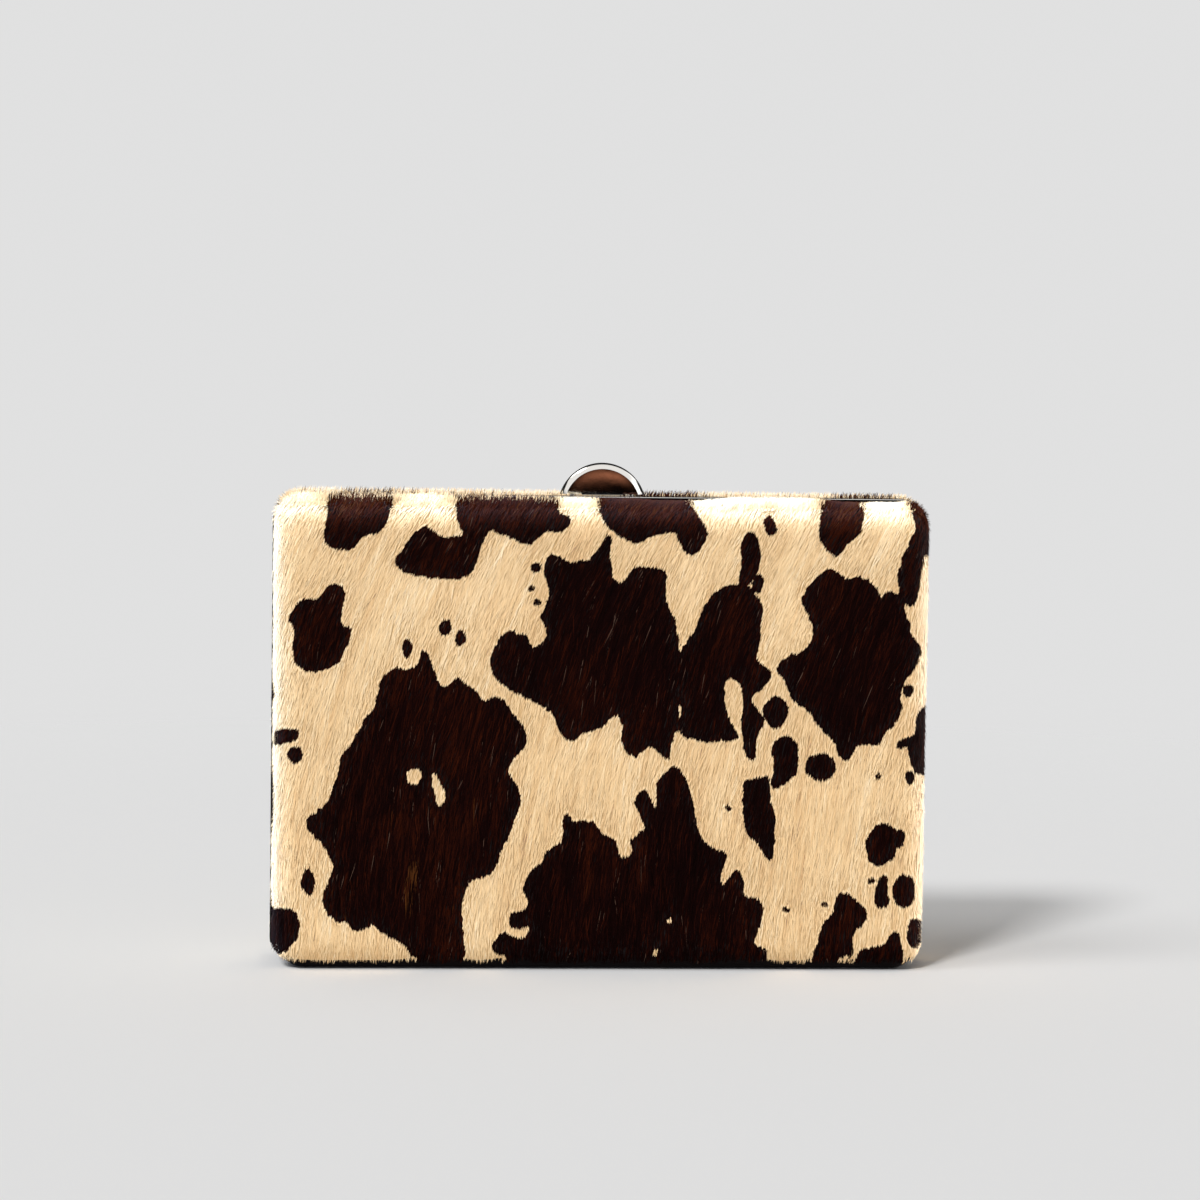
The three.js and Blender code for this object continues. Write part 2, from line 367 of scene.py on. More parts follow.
def past_flat(u, v):
    """How far a point of the sheet lies past the flat of the face, along each way and in all."""
    over_u = np.maximum(np.abs(u) - FLAT_U, 0)
    over_v = np.maximum(np.abs(v) - FLAT_V, 0)
    return over_u, over_v, np.hypot(over_u, over_v)


def crown_rise(x, z):
    """How far the padded face stands out over its rim."""
    across = np.clip((SKIN_HALF_WIDTH - EDGE_RADIUS - np.abs(x)) / CROWN_RUN, 0, 1)
    up = np.clip((SKIN_HALF_HEIGHT - EDGE_RADIUS - np.abs(z)) / CROWN_RUN, 0, 1)
    return CROWN * (1 - np.cos(np.pi * across)) * (1 - np.cos(np.pi * up)) / 4


def bend_sheet(u, v, lift, side):
    """The points of the cover for points of the sheet, lifted off the skin. side is -1 for the front."""
    over_u, over_v, over = past_flat(u, v)
    safe = np.maximum(over, 1e-12)
    turn = np.minimum(over, QUARTER_ARC) / EDGE_RADIUS
    out = (EDGE_RADIUS + lift) * np.sin(turn)
    depth = SKIN_FACE - EDGE_RADIUS + (EDGE_RADIUS + lift) * np.cos(turn)
    depth = depth - np.maximum(over - QUARTER_ARC, 0) + crown_rise(u, v)
    x = np.sign(u) * (np.minimum(np.abs(u), FLAT_U) + out * over_u / safe)
    z = np.sign(v) * (np.minimum(np.abs(v), FLAT_V) + out * over_v / safe)
    return np.stack([x, side * depth, z + HALF_HEIGHT], axis=-1)


def flatten_cover(points):
    """The places on the sheet of points of the skin."""
    x = points[:, 0]
    z = points[:, 2] - HALF_HEIGHT
    depth = np.abs(points[:, 1])
    over_x = np.maximum(np.abs(x) - FLAT_U, 0)
    over_z = np.maximum(np.abs(z) - FLAT_V, 0)
    out = np.maximum(np.hypot(over_x, over_z), 1e-12)
    rise = depth - (SKIN_FACE - EDGE_RADIUS)
    over = EDGE_RADIUS * np.arctan2(out, np.maximum(rise, 0)) + np.maximum(-rise, 0)
    u = np.sign(x) * (np.minimum(np.abs(x), FLAT_U) + over * over_x / out)
    v = np.sign(z) * (np.minimum(np.abs(z), FLAT_V) + over * over_z / out)
    return u, v


print("sheet", round(2 * (FLAT_U + SHEET_EDGE) / MM), "by", round(2 * (FLAT_V + SHEET_EDGE) / MM), "mm")

# %% [markdown]
# ## Chart of the patches
# The dark patches are charted as outlines in pixels of the photograph. An outline that runs past
# the rim of the wallet goes on round the edge. The chart is read with soft curves between its points. Small
# spots are ovals, and the pale and rusty bits inside a dark patch are listed apart.

# %% Chart the patches
PATCHES = {
    "top_left_tongue": [
        (334, 440), (330, 500), (327, 519), (326, 543), (340, 549), (354, 548), (361, 537), (374, 533),
        (384, 526), (392, 508), (396, 490), (408, 440),
    ],
    "left_mitten": [
        (336, 585), (343, 588), (344, 596), (340, 618), (343, 625), (351, 630), (347, 644), (338, 662),
        (318, 671), (299, 668), (293, 648), (295, 632), (290, 616), (303, 600), (317, 600), (329, 586),
    ],
    "hook_left_of_tab": [
        (460, 440), (458, 500), (458, 521), (464, 534), (454, 537), (438, 535), (426, 526), (412, 536),
        (402, 552), (396, 561), (405, 572), (433, 577), (459, 578), (473, 570), (480, 546), (490, 529),
        (501, 533), (517, 540), (531, 544), (545, 532), (563, 531), (571, 519), (560, 514), (560, 504),
        (556, 492), (552, 440),
    ],
    "band_right_of_tab": [
        (606, 440), (601, 500), (602, 514), (606, 524), (623, 537), (639, 542), (653, 535), (675, 532),
        (680, 543), (688, 553), (697, 552), (708, 534), (702, 523), (694, 508), (694, 488), (700, 440),
    ],
    "middle_star": [
        (607, 536), (613, 540), (610, 547), (611, 566), (615, 580), (623, 582), (632, 571), (641, 568),
        (664, 571), (666, 589), (667, 603), (675, 622), (678, 646), (680, 656), (683, 647), (696, 629),
        (702, 613), (707, 602), (718, 591), (731, 585), (748, 586), (758, 599), (763, 606), (760, 623),
        (759, 646), (756, 658), (766, 667), (771, 674), (766, 684), (758, 690), (751, 700), (760, 712),
        (763, 722), (756, 740), (756, 753), (752, 759), (746, 752), (742, 726), (744, 700), (739, 682),
        (728, 678), (724, 690), (727, 714), (737, 734), (734, 739), (710, 741), (686, 737), (680, 731),
        (674, 733), (670, 752), (666, 758), (650, 746), (635, 757), (626, 750), (622, 740), (623, 726),
        (618, 716), (610, 717), (604, 725), (580, 734), (573, 740), (561, 733), (554, 714), (534, 701),
        (511, 689), (495, 676), (491, 660), (498, 641), (511, 630), (518, 635), (525, 634), (531, 646),
        (542, 644), (547, 631), (541, 617), (549, 599), (549, 584), (544, 570), (552, 554), (571, 563),
        (580, 560), (587, 562), (599, 550),
    ],
    "big_left_patch": [
        (424, 650), (431, 662), (436, 676), (441, 685), (447, 685), (459, 678), (468, 686), (476, 690),
        (484, 700), (498, 696), (507, 705), (521, 724), (526, 733), (524, 746), (508, 767), (516, 785),
        (520, 801), (513, 823), (500, 854), (491, 873), (473, 880), (465, 889), (462, 903), (462, 924),
        (465, 950), (463, 963), (460, 1010), (428, 1010), (420, 964), (411, 955), (404, 944), (380, 932),
        (373, 924), (356, 932), (346, 921), (335, 921), (323, 903), (331, 877), (333, 864), (325, 846),
        (310, 831), (307, 820), (320, 810), (328, 802), (340, 769), (342, 755), (354, 741), (365, 719),
        (374, 709), (379, 690), (385, 675), (398, 668), (409, 670), (419, 661),
    ],
    "bottom_middle_patch": [
        (508, 1010), (507, 960), (499, 955), (493, 946), (504, 932), (516, 939), (527, 937), (529, 927),
        (516, 929), (511, 924), (512, 913), (525, 911), (529, 901), (524, 887), (535, 866), (543, 862),
        (547, 851), (562, 841), (563, 820), (568, 813), (574, 821), (593, 821), (602, 834), (614, 839),
        (621, 857), (628, 857), (633, 853), (631, 841), (641, 832), (645, 824), (635, 802), (645, 790),
        (654, 805), (658, 805), (657, 784), (669, 769), (678, 768), (688, 786), (697, 824), (701, 838),
        (717, 850), (726, 854), (720, 876), (724, 886), (731, 876), (738, 870), (744, 882), (745, 896),
        (759, 901), (763, 916), (755, 938), (757, 946), (767, 951), (766, 966), (762, 1010),
    ],
    "right_patch": [
        (823, 573), (832, 569), (840, 574), (849, 580), (857, 577), (869, 581), (877, 588), (882, 598),
        (891, 591), (902, 601), (906, 616), (911, 624), (912, 636), (922, 648), (916, 669), (904, 683),
        (901, 700), (902, 709), (892, 728), (885, 731), (880, 745), (865, 744), (856, 747), (848, 760),
        (840, 755), (834, 741), (818, 724), (812, 713), (793, 700), (786, 682), (777, 668), (789, 655),
        (800, 653), (811, 643), (814, 628), (805, 606), (804, 596), (814, 581),
    ],
    "right_edge_hook": [
        (923, 492), (917, 504), (916, 514), (917, 528), (909, 547), (902, 563), (899, 581), (903, 599),
        (907, 605), (915, 604), (920, 588), (924, 567), (929, 556), (960, 552), (960, 470), (930, 466),
    ],
    "top_right_tongue": [
        (836, 440), (834, 488), (828, 499), (825, 508), (820, 529), (821, 540), (831, 552), (837, 556),
        (849, 543), (861, 532), (864, 521), (866, 506), (872, 494), (880, 480), (884, 440),
    ],
    "upper_right_bar": [
        (746, 534), (755, 533), (759, 546), (761, 556), (756, 575), (749, 583), (740, 581), (743, 560),
        (742, 547),
    ],
    "pendant_blob": [(767, 719), (776, 729), (787, 715), (785, 700), (773, 697), (763, 708)],
    "lower_blob": [
        (775, 741), (786, 736), (794, 740), (798, 750), (795, 774), (777, 788), (771, 784), (775, 764),
        (772, 752),
    ],
    "long_blob": [
        (744, 786), (753, 779), (763, 776), (769, 779), (771, 803), (775, 820), (773, 852), (769, 860),
        (758, 843), (750, 836), (745, 824),
    ],
    "left_bar": [(276, 740), (277, 747), (287, 743), (296, 740), (298, 732), (285, 730), (277, 735)],
    "left_corner_patch": [
        (240, 910), (272, 913), (287, 910), (296, 914), (299, 927), (297, 938), (289, 947), (280, 958),
        (240, 975),
    ],
    "right_edge_cluster": [
        (924, 710), (918, 722), (915, 734), (899, 743), (901, 749), (908, 747), (914, 769), (922, 776),
        (960, 780), (960, 706),
    ],
    "lower_right_blob": [
        (886, 824), (893, 828), (897, 831), (901, 829), (905, 833), (906, 839), (902, 846), (897, 849),
        (896, 856), (889, 861), (880, 867), (873, 864), (868, 856), (867, 843), (871, 833), (878, 826),
    ],
    "lower_right_bar": [
        (884, 876), (888, 879), (887, 888), (889, 897), (889, 904), (885, 908), (879, 907), (876, 900),
        (877, 890), (880, 881),
    ],
    "lower_right_oval": [
        (915, 920), (924, 926), (926, 934), (924, 943), (918, 951), (911, 945), (908, 936), (910, 925),
    ],
    "knee_patch": [
        (841, 893), (850, 896), (859, 902), (865, 909), (868, 916), (865, 923), (857, 930), (853, 937),
        (853, 945), (854, 952), (850, 960), (838, 962), (838, 1010), (822, 1010), (814, 958), (817, 947),
        (821, 933), (825, 922), (833, 916), (835, 909), (836, 900),
    ],
    "bottom_right_foot": [
        (858, 1010), (858, 961), (862, 953), (870, 949), (881, 946), (888, 943), (892, 935), (896, 932),
        (900, 935), (902, 947), (904, 958), (904, 1010),
    ],
    "small_teardrop": [(766, 521), (767, 533), (774, 534), (777, 529), (772, 518)],
    "small_comma": [(756, 577), (760, 575), (764, 581), (762, 588), (758, 593), (753, 585)],
}
PALE_SLIVER = [
    (432, 773), (437, 773), (440, 783), (445, 790), (445, 801), (440, 806), (436, 803), (435, 792),
    (432, 784),
]
# Each oval, here and in the next two lists, is a row of x, y, half its width and half its height.
SPOTS = [
    (821, 767, 15, 13), (295, 755, 6.5, 7), (308, 882, 5.7, 11.7), (905, 892, 10.7, 16.4),
    (900, 600, 7, 7), (909, 691, 5.2, 6), (911, 778, 4.3, 6), (445, 627, 5.5, 7), (461, 638, 5, 7),
    (407, 648, 4.6, 7.8), (536, 567, 4.5, 4.5), (532, 588, 2.2, 2.2), (538, 602, 2.8, 2.8),
    (729, 808, 2.4, 2.4), (879, 776, 2.6, 2.6), (872, 881, 3.2, 3.2), (787, 910, 3, 3), (826, 905, 3.2, 2.6),
    (258, 801, 15, 26), (258, 696, 14, 7),
]
PALE_BITS = [
    (414, 776, 8.4, 8.8), (680, 713, 2.8, 8.5), (656, 953, 3.5, 4.5), (847, 959, 3, 6), (853, 963, 2.5, 5),
    (670, 921, 3, 3),
]
RUSTY_SPOTS = [(413, 875, 5, 11), (408, 900, 5, 7)]
CURVE_STEPS = 3


def soft_outline(points):
    """A closed outline through given points, with Catmull-Rom curves between them."""
    corners = np.array(points, float)
    before, after, later = (np.roll(corners, shift, axis=0) for shift in (1, -1, -2))
    pieces = []
    for step in range(CURVE_STEPS):
        t = step / CURVE_STEPS
        pieces.append(
            corners
            + t * (after - before) / 2
            + t**2 * (before - 2.5 * corners + 2 * after - later / 2)
            + t**3 * (1.5 * (corners - after) + (later - before) / 2)
        )
    return np.stack(pieces, axis=1).reshape(-1, 2)


def depth_in_outline(outline, x, y, reach):
    """How deep points lie inside an outline, in pixels. Outside it is negative, down to -reach."""
    depth = np.full(x.shape, -reach)
    low, high = outline.min(axis=0) - reach, outline.max(axis=0) + reach
    near = np.flatnonzero((x > low[0]) & (x < high[0]) & (y > low[1]) & (y < high[1]))
    px, py = x[near], y[near]
    nearest = np.full(near.shape, np.inf)
    inside = np.zeros(near.shape, bool)
    for (ax, ay), (bx, by) in zip(outline, np.roll(outline, -1, axis=0)):
        dx, dy = bx - ax, by - ay
        along = np.clip(((px - ax) * dx + (py - ay) * dy) / max(dx * dx + dy * dy, 1e-9), 0, 1)
        nearest = np.minimum(nearest, np.hypot(px - ax - along * dx, py - ay - along * dy))
        crosses = (ay > py) != (by > py)
        inside ^= crosses & (px < ax + (py - ay) / (dy if dy else 1e-9) * dx)
    depth[near] = np.maximum(np.where(inside, nearest, -nearest), -reach)
    return depth


def depth_in_spot(spot, x, y, reach):
    centre_x, centre_y, half_width, half_height = spot
    away = np.hypot((x - centre_x) / half_width, (y - centre_y) / half_height)
    return np.maximum((1 - away) * min(half_width, half_height), -reach)


outlines = {name: soft_outline(points) for name, points in PATCHES.items()}
pale_outline = soft_outline(PALE_SLIVER)
print(len(PATCHES), "patches,", len(SPOTS), "spots,", len(PALE_BITS), "pale bits")

# %% [markdown]
# ## Reading the chart
# A point of the sheet is looked up at the pixel where the camera sees it. A rounded edge looks narrower
# than it is, so distances along it are shortened first. Hair carries its colour a little way down and
# spreads it, and soft noise frays the outlines. The back cover is not seen, so it gets the same chart,
# drifting as it goes down.

# %% Define how dark a point is
CHART_REACH = 40.0
FRAY = 0.2 * MM
HAIR_DRAG = 0.2 * MM
HAIR_SPREAD = 0.13 * MM
NOISE_SIDE = 256
FRAY_WIDE = 0.9 * MM
FRAY_TALL = 1.3 * MM
FRAY_SEED = 5
BACK_DRIFT = 9 * MM
BACK_WAVE_U = 14 * MM
BACK_WAVE_V = 17 * MM
COAT_END = 4.4 * MM


def soft_noise(x, y, seed):
    """Smooth seeded noise from -1 to 1, with bumps about one unit wide."""
    lattice = np.random.default_rng(seed).uniform(-1, 1, (NOISE_SIDE, NOISE_SIDE))
    left, low = np.floor(x).astype(int), np.floor(y).astype(int)
    tx, ty = x - left, y - low
    tx, ty = tx * tx * (3 - 2 * tx), ty * ty * (3 - 2 * ty)

    def corner(i, j):
        return lattice[(left + i) % NOISE_SIDE, (low + j) % NOISE_SIDE]

    bottom = corner(0, 0) * (1 - tx) + corner(1, 0) * tx
    top = corner(0, 1) * (1 - tx) + corner(1, 1) * tx
    return bottom * (1 - ty) + top * ty


def seen_distance(distance, flat):
    """How far from the middle a point looks to be, when it lies that far out along the sheet."""
    over = np.abs(distance) - flat
    arc = EDGE_RADIUS * np.sin(np.clip(over, 0, QUARTER_ARC) / EDGE_RADIUS)
    wall = np.maximum(over - QUARTER_ARC, 0)
    return np.sign(distance) * (np.minimum(np.abs(distance), flat) + arc + wall)


def picture_place(x, z):
    """The pixel of the picture where a point of the front face is seen."""
    into_view = np.array(camera.matrix_world.inverted())
    points = np.stack([x, np.full(x.shape, -COVER_FACE), z, np.ones(x.shape)])
    seen = into_view @ points
    zoom = camera.data.lens / SENSOR * PICTURE_SIDE / -seen[2]
    return PICTURE_SIDE / 2 + zoom * seen[0], PICTURE_SIDE / 2 - zoom * seen[1]


def chart_place(u, v):
    """The pixel where a point of the front's sheet is looked up."""
    return picture_place(seen_distance(u, FLAT_U), seen_distance(v, FLAT_V) + HALF_HEIGHT)


def patch_depth(u, v, side):
    """How deep points of the sheet lie inside the dark patches, in metres. Pale hide is negative."""
    if side > 0:
        fall = np.clip((FLAT_V - v) / (2 * FLAT_V), 0, 1)
        u = u + BACK_DRIFT * fall * np.sin(v / BACK_WAVE_U)
        v = v + BACK_DRIFT * fall * np.sin(u / BACK_WAVE_V)
    x, y = chart_place(u, v + HAIR_DRAG)
    depth = np.full(x.shape, -CHART_REACH)
    for outline in outlines.values():
        depth = np.maximum(depth, depth_in_outline(outline, x, y, CHART_REACH))
    for spot in SPOTS:
        depth = np.maximum(depth, depth_in_spot(spot, x, y, CHART_REACH))
    for spot in PALE_BITS:
        depth = np.minimum(depth, -depth_in_spot(spot, x, y, CHART_REACH))
    depth = np.minimum(depth, -depth_in_outline(pale_outline, x, y, CHART_REACH))
    fray = FRAY * soft_noise(u / FRAY_WIDE, v / FRAY_TALL, FRAY_SEED)
    return depth / PIXELS_PER_MM * MM + fray + HAIR_SPREAD


print("dark in the middle of the star:", patch_depth(np.array([4 * MM]), np.array([15 * MM]), -1)[0] > 0)

# %% [markdown]
# ## Skin of a cover
# Under the hair is the skin, a tray with soft edges and a slightly padded face. It is a box with its
# parting side taken out and its edges rounded by a bevel. Long edges are then subdivided, so that the face
# can swell and so that the patches can be painted on its points. The coat ends part way round the bottom
# edge, and from a little above there the skin is painted near-black, a painted shadow under the base. It
# sits a little inside the imported solid, to leave room for the hair, so its bare base is drawn down to the
# floor. Its wall and lining come with the finishes.

# %% Model the skins
SKIN_WALL = 1.5 * MM
EDGE_SEGMENTS = 8
GRID_PITCH = 1.0 * MM
BASE_SHADOW_BAND = 0.9 * MM
BASE_DROP = 0.4 * MM
BASE_RUN = (0.5 * MM, 3.0 * MM)
LONG_EDGE = 20 * MM
TOUCHING = 1e-6
ALIGNED = 0.999
FACING = 0.9


def cut_edges(piece, axis, pitch, shortest):
    """Subdivides the edges along one axis that are at least that long."""
    lengths = []

    def along(a, b):
        across = [abs((a - b)[k]) for k in range(3)]
        fits = across[axis] > shortest and across[axis] > ALIGNED * (a - b).length
        if fits:
            lengths.append(across[axis])
        return fits

    select_edges(piece, along)
    bpy.ops.mesh.subdivide(number_cuts=max(1, round(max(lengths) / pitch) - 1))


def model_skin(name, side):
    face_y = side * SKIN_FACE
    edge_y = side * COVER_EDGE
    low = (-SKIN_HALF_WIDTH, min(face_y, edge_y), HALF_HEIGHT - SKIN_HALF_HEIGHT)
    high = (SKIN_HALF_WIDTH, max(face_y, edge_y), HALF_HEIGHT + SKIN_HALF_HEIGHT)
    skin = add_block(name, low, high)
    start_edit(skin)
    select_faces(skin, lambda centre, normal: normal.y * side < -FACING)
    bpy.ops.mesh.delete(type="FACE")
    select_edges(skin, lambda a, b: abs((a + b).y / 2 - edge_y) > TOUCHING)
    bpy.ops.mesh.bevel(offset=EDGE_RADIUS, segments=EDGE_SEGMENTS, affect="EDGES", clamp_overlap=False)
    cut_edges(skin, 0, GRID_PITCH, LONG_EDGE)
    cut_edges(skin, 2, GRID_PITCH, LONG_EDGE)
    cut_edges(skin, 1, GRID_PITCH, GRID_PITCH)
    end_edit()
    points = np.empty(len(skin.data.vertices) * 3)
    skin.data.vertices.foreach_get("co", points)
    points = points.reshape(-1, 3)
    flat = np.abs(np.abs(points[:, 1]) - SKIN_FACE) < TOUCHING
    points[flat, 1] += side * crown_rise(points[flat, 0], points[flat, 2] - HALF_HEIGHT)
    u, v = flatten_cover(points)
    # Along the base, from a little above where the coat ends, the skin takes the dark patch colour: a painted
    # shadow under the base.
    depth = np.where(v < BASE_SHADOW_BAND - FLAT_V - COAT_END, MM, patch_depth(u, v, side))
    dark = skin.data.attributes.new("patch_and_base_shadow", "FLOAT", "POINT")
    dark.data.foreach_set("value", (depth / MM).astype(np.float32))
    points[:, 2] -= BASE_DROP * np.interp(points[:, 2], BASE_RUN, (1, 0))
    skin.data.vertices.foreach_set("co", points.ravel())
    start_edit(skin)
    face_outward()
    end_edit()
    bpy.ops.object.shade_smooth()
    return skin


skins = {"front": model_skin("front_hide", -1), "back": model_skin("back_hide", 1)}
print("skin faces", {side: len(skin.data.polygons) for side, skin in skins.items()})

# %% [markdown]
# ## Hide and lining finishes
# The skin only shows between the hairs, so it is the shadow colour of each patch, with the chart's depth as
# an attribute deciding which. The inside of the covers is not seen in the photograph, so it is finished as
# plain brown leather with a fine grain. Solidify gives the skin its wall, with the lining on its inner
# side.

# %% Finish the skins
hide_finish, tree, shader = new_finish("calf_hide", (0.45, 0.29, 0.13), 0.8, specular=0.2)
# The attribute also marks the base band, which takes the near-black as painted shadow.
patch_and_base_shadow = add_node(tree, "ShaderNodeAttribute", attribute_name="patch_and_base_shadow")
width = add_node(tree, "ShaderNodeMapRange", {"From Min": -0.25, "From Max": 0.25})
tree.links.new(patch_and_base_shadow.outputs["Fac"], width.inputs["Value"])
colour = add_ramp(tree, width.outputs["Result"], [(0.35, (0.68, 0.44, 0.21)), (0.65, (0.004, 0.001, 0.001))])
tree.links.new(colour, shader.inputs["Base Color"])

lining_finish, tree, shader = new_finish("brown_lining", (0.10, 0.045, 0.025), 0.5, specular=0.35)
place = add_node(tree, "ShaderNodeTexCoord")
pebbles = add_node(tree, "ShaderNodeTexVoronoi", {"Scale": 1100.0}, feature="SMOOTH_F1")
tone = add_node(tree, "ShaderNodeTexNoise", {"Scale": 90.0, "Detail": 4.0})
bump = add_node(tree, "ShaderNodeBump", {"Strength": 0.25, "Distance": 0.0001})
tree.links.new(place.outputs["Object"], pebbles.inputs["Vector"])
tree.links.new(place.outputs["Object"], tone.inputs["Vector"])
tree.links.new(pebbles.outputs["Distance"], bump.inputs["Height"])
tree.links.new(bump.outputs["Normal"], shader.inputs["Normal"])
colour = add_ramp(tree, tone.outputs["Fac"], [(0.3, (0.075, 0.032, 0.018)), (0.7, (0.125, 0.058, 0.032))])
tree.links.new(colour, shader.inputs["Base Color"])
rough = add_node(tree, "ShaderNodeMapRange", {"To Min": 0.42, "To Max": 0.6})
tree.links.new(pebbles.outputs["Distance"], rough.inputs["Value"])
tree.links.new(rough.outputs["Result"], shader.inputs["Roughness"])

for side, skin in skins.items():
    skin.data.materials.append(hide_finish)
    skin.data.materials.append(lining_finish)
    apply_modifier(
        skin,
        "SOLIDIFY",
        thickness=SKIN_WALL,
        offset=-1.0,
        use_even_offset=True,
        material_offset=1,
        material_offset_rim=1,
    )
    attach(skin, side + "_half")
    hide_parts(side + "_cover")
    print(skin.name, triangles(skin), "triangles")

# %% [markdown]
# ## Where the hair grows
# Calf hair is short and lies flat, each hair over the roots of the next like roof tiles. It could be a
# particle system, but a plain mesh keeps its shape in any program. The hairs are laid out on the sheet on a
# shaken grid, with finer grids along the top edge and along the rims of the patches. At the base the coat
# is trimmed in small tufts. Round the edges the hairs stand off the skin, most of all along the top.

# %% Scatter the hair
COVERS = {
    "front": {"sign": -1, "pitch": 0.45 * MM, "width": 0.21 * MM, "seed": 11},
    "back": {"sign": 1, "pitch": 0.58 * MM, "width": 0.23 * MM, "seed": 23},
}
FRINGE_PITCH = 0.42 * MM
FRINGE_START = 0.6
EDGE_PITCH = 0.36 * MM
EDGE_BAND = 0.45 * MM
RAGGED = 0.6 * MM
TUFT_WIDTH = 0.9 * MM
TUFT_SHAKE = 0.5
TUFT_SEED = 44
PARTING_GAP = 0.3 * MM
SHORTEST_TRIM = 0.4 * MM
STAND_SIDE = 1.3 * MM
STAND_BOTTOM = 0.3 * MM
STAND_CORNER = 0.9 * MM
STAND_START = 0.5
CREST_START = 0.4
# Each row is a place across the wallet and how high the hair stands there, in millimetres.
FRONT_CREST = [
    (-62, 1.9), (-30, 1.8), (-12, 1.6), (-8, 1.1), (7, 1.1), (9, 0.6), (19, 0.6), (25, 1.5), (42, 1.5),
    (46, 0.6), (57, 0.6), (62, 1.4),
]
BACK_CREST = [(-62, 2.3), (-40, 2.3), (0, 2.0), (30, 2.0), (62, 1.9)]


def shaken_grid(rng, reach_u, low, high, pitch):
    """Points of a grid on the sheet, each shaken within its cell."""
    columns, rows = int(2 * reach_u / pitch), int((high - low) / pitch)
    grid_u, grid_v = np.meshgrid(np.arange(columns), np.arange(rows))
    u = (grid_u.ravel() + rng.uniform(0, 1, grid_u.size)) * pitch - reach_u
    v = (grid_v.ravel() + rng.uniform(0, 1, grid_v.size)) * pitch + low
    return u, v


def scatter_hair(rng, pitch, sign):
    """Where the hairs of a cover show on the sheet, and how far each one is from the end of the coat."""
    reach_u, reach_v = FLAT_U + SHEET_EDGE, FLAT_V + SHEET_EDGE
    zones = [(-reach_v, pitch), (FLAT_V + FRINGE_START * QUARTER_ARC, FRINGE_PITCH)]
    scattered = [shaken_grid(rng, reach_u, low, reach_v, apart) for low, apart in zones]
    edge_u, edge_v = shaken_grid(rng, reach_u, -reach_v, reach_v, EDGE_PITCH)
    by_edge = np.abs(patch_depth(edge_u, edge_v, sign)) < EDGE_BAND
    scattered.append((edge_u[by_edge], edge_v[by_edge]))
    u, v = np.concatenate(scattered, axis=1)
    tufts = soft_noise(u / TUFT_WIDTH, np.zeros(u.size), TUFT_SEED)
    ragged = RAGGED * (tufts + TUFT_SHAKE * rng.normal(0, 1, u.size))
    to_base = v + FLAT_V + COAT_END + ragged
    kept = (past_flat(u, v)[2] < SHEET_EDGE - PARTING_GAP) & (to_base > SHORTEST_TRIM)
    return u[kept], v[kept], to_base[kept]


def crest_height(u, sign):
    """How high the hair stands along the top of a cover."""
    places, heights = np.array(BACK_CREST if sign > 0 else FRONT_CREST).T * MM
    return np.interp(u, places, heights)


def edge_stand(u, v, sign):
    """How far round the edges, the corners and the top the hairs are, and how high they stand there."""
    over_u, _, over = past_flat(u, v)
    wrap = np.clip((over - STAND_START * QUARTER_ARC) / QUARTER_ARC, 0, 1)
    crest_wrap = np.clip((over - CREST_START * QUARTER_ARC) / ((1 - CREST_START) * QUARTER_ARC), 0, 1)
    sideways = (over_u / np.maximum(over, 1e-9)) ** 2
    upright = np.where(v > 0, crest_wrap * crest_height(u, sign), wrap * STAND_BOTTOM)
    corner = 4 * sideways * (1 - sideways) * wrap
    stand = wrap * sideways * STAND_SIDE + (1 - sideways) * upright + corner * STAND_CORNER
    on_top = crest_wrap * (1 - sideways) * (v > 0)
    return {"wrap": wrap, "corner": corner, "stand": stand, "on_top": on_top}


print("hair stands", [float(round(crest_height(0, sign) / MM, 1)) for sign in (-1, 1)], "mm high at the tab")

# %% [markdown]
# ## Colour of the hair
# A hair is dark where it shows inside a patch. Where the coat turns round the edge, the colours mix. The
# back's top edge is seen only as a thin fringe, so it gets a listed share of dark hairs, and the crest left
# of the tab has some pale tips. Within a colour the shade varies in streaks and clumps along the flow of
# the hair. A few pale strays and two rusty spots break up the dark patches. Near the top edge the dark
# hairs are painted lighter and warmer, a painted sheen from the light above. The pale hairs of the back's
# top edge vary at random and are painted lighter on the whole, as painted top light.

# %% Colour the hair
LEAN_TOP = math.radians(27)
LEAN_MIDDLE = math.radians(14)
LEAN_BOTTOM = math.radians(3)
LEAN_BEND = 1.3
FLOW_STEPS = 200
MIX_WIDTH = 0.5 * MM
FRINGE_FROM = 0.5
PALE_TIPS = 0.4
PALE_TIPS_LEFT_OF = -8 * MM
# Each row is a place across the wallet, in millimetres, and the share of dark hair on the back's top edge.
BACK_TOP_DARK = [
    (-52, 0.08), (-50, 0.45), (-40, 0.45), (-37, 0.08), (2, 0.05), (6, 0.9), (18, 0.9), (21, 0.08),
    (43, 0.08), (46, 0.65), (56, 0.65), (59, 0.15), (62, 0.35),
]
# Each row is a noise in the shade: the size of its bumps, and how strong it is in pale and in dark hair.
SHADE_GRAINS = [
    {"wide": 0.45 * MM, "tall": 9 * MM, "seed": 41, "pale": 0.19, "dark": 0.08, "combed": True},
    {"wide": 1.6 * MM, "tall": 12 * MM, "seed": 42, "pale": 0.13, "dark": 0.05, "combed": True},
    {"wide": 14 * MM, "tall": 20 * MM, "seed": 43, "pale": 0.08, "dark": 0.08, "combed": False},
]
MIDDLE_SHADE = 0.5
PALE_SHAKE = 0.11
DARK_SHAKE = 0.09
FRINGE_TONE_AND_TOP_LIGHT = (-0.3, 0.6)
CREST_SHEEN_RUN = 4 * MM
CREST_SHEEN = 0.22
DARK_CAP = 0.85
STRAY_SHARE = 0.007
STRAY_SHADE = 0.97
RUSTY_SHARE = 0.6
RUSTY_SHADE = 0.89
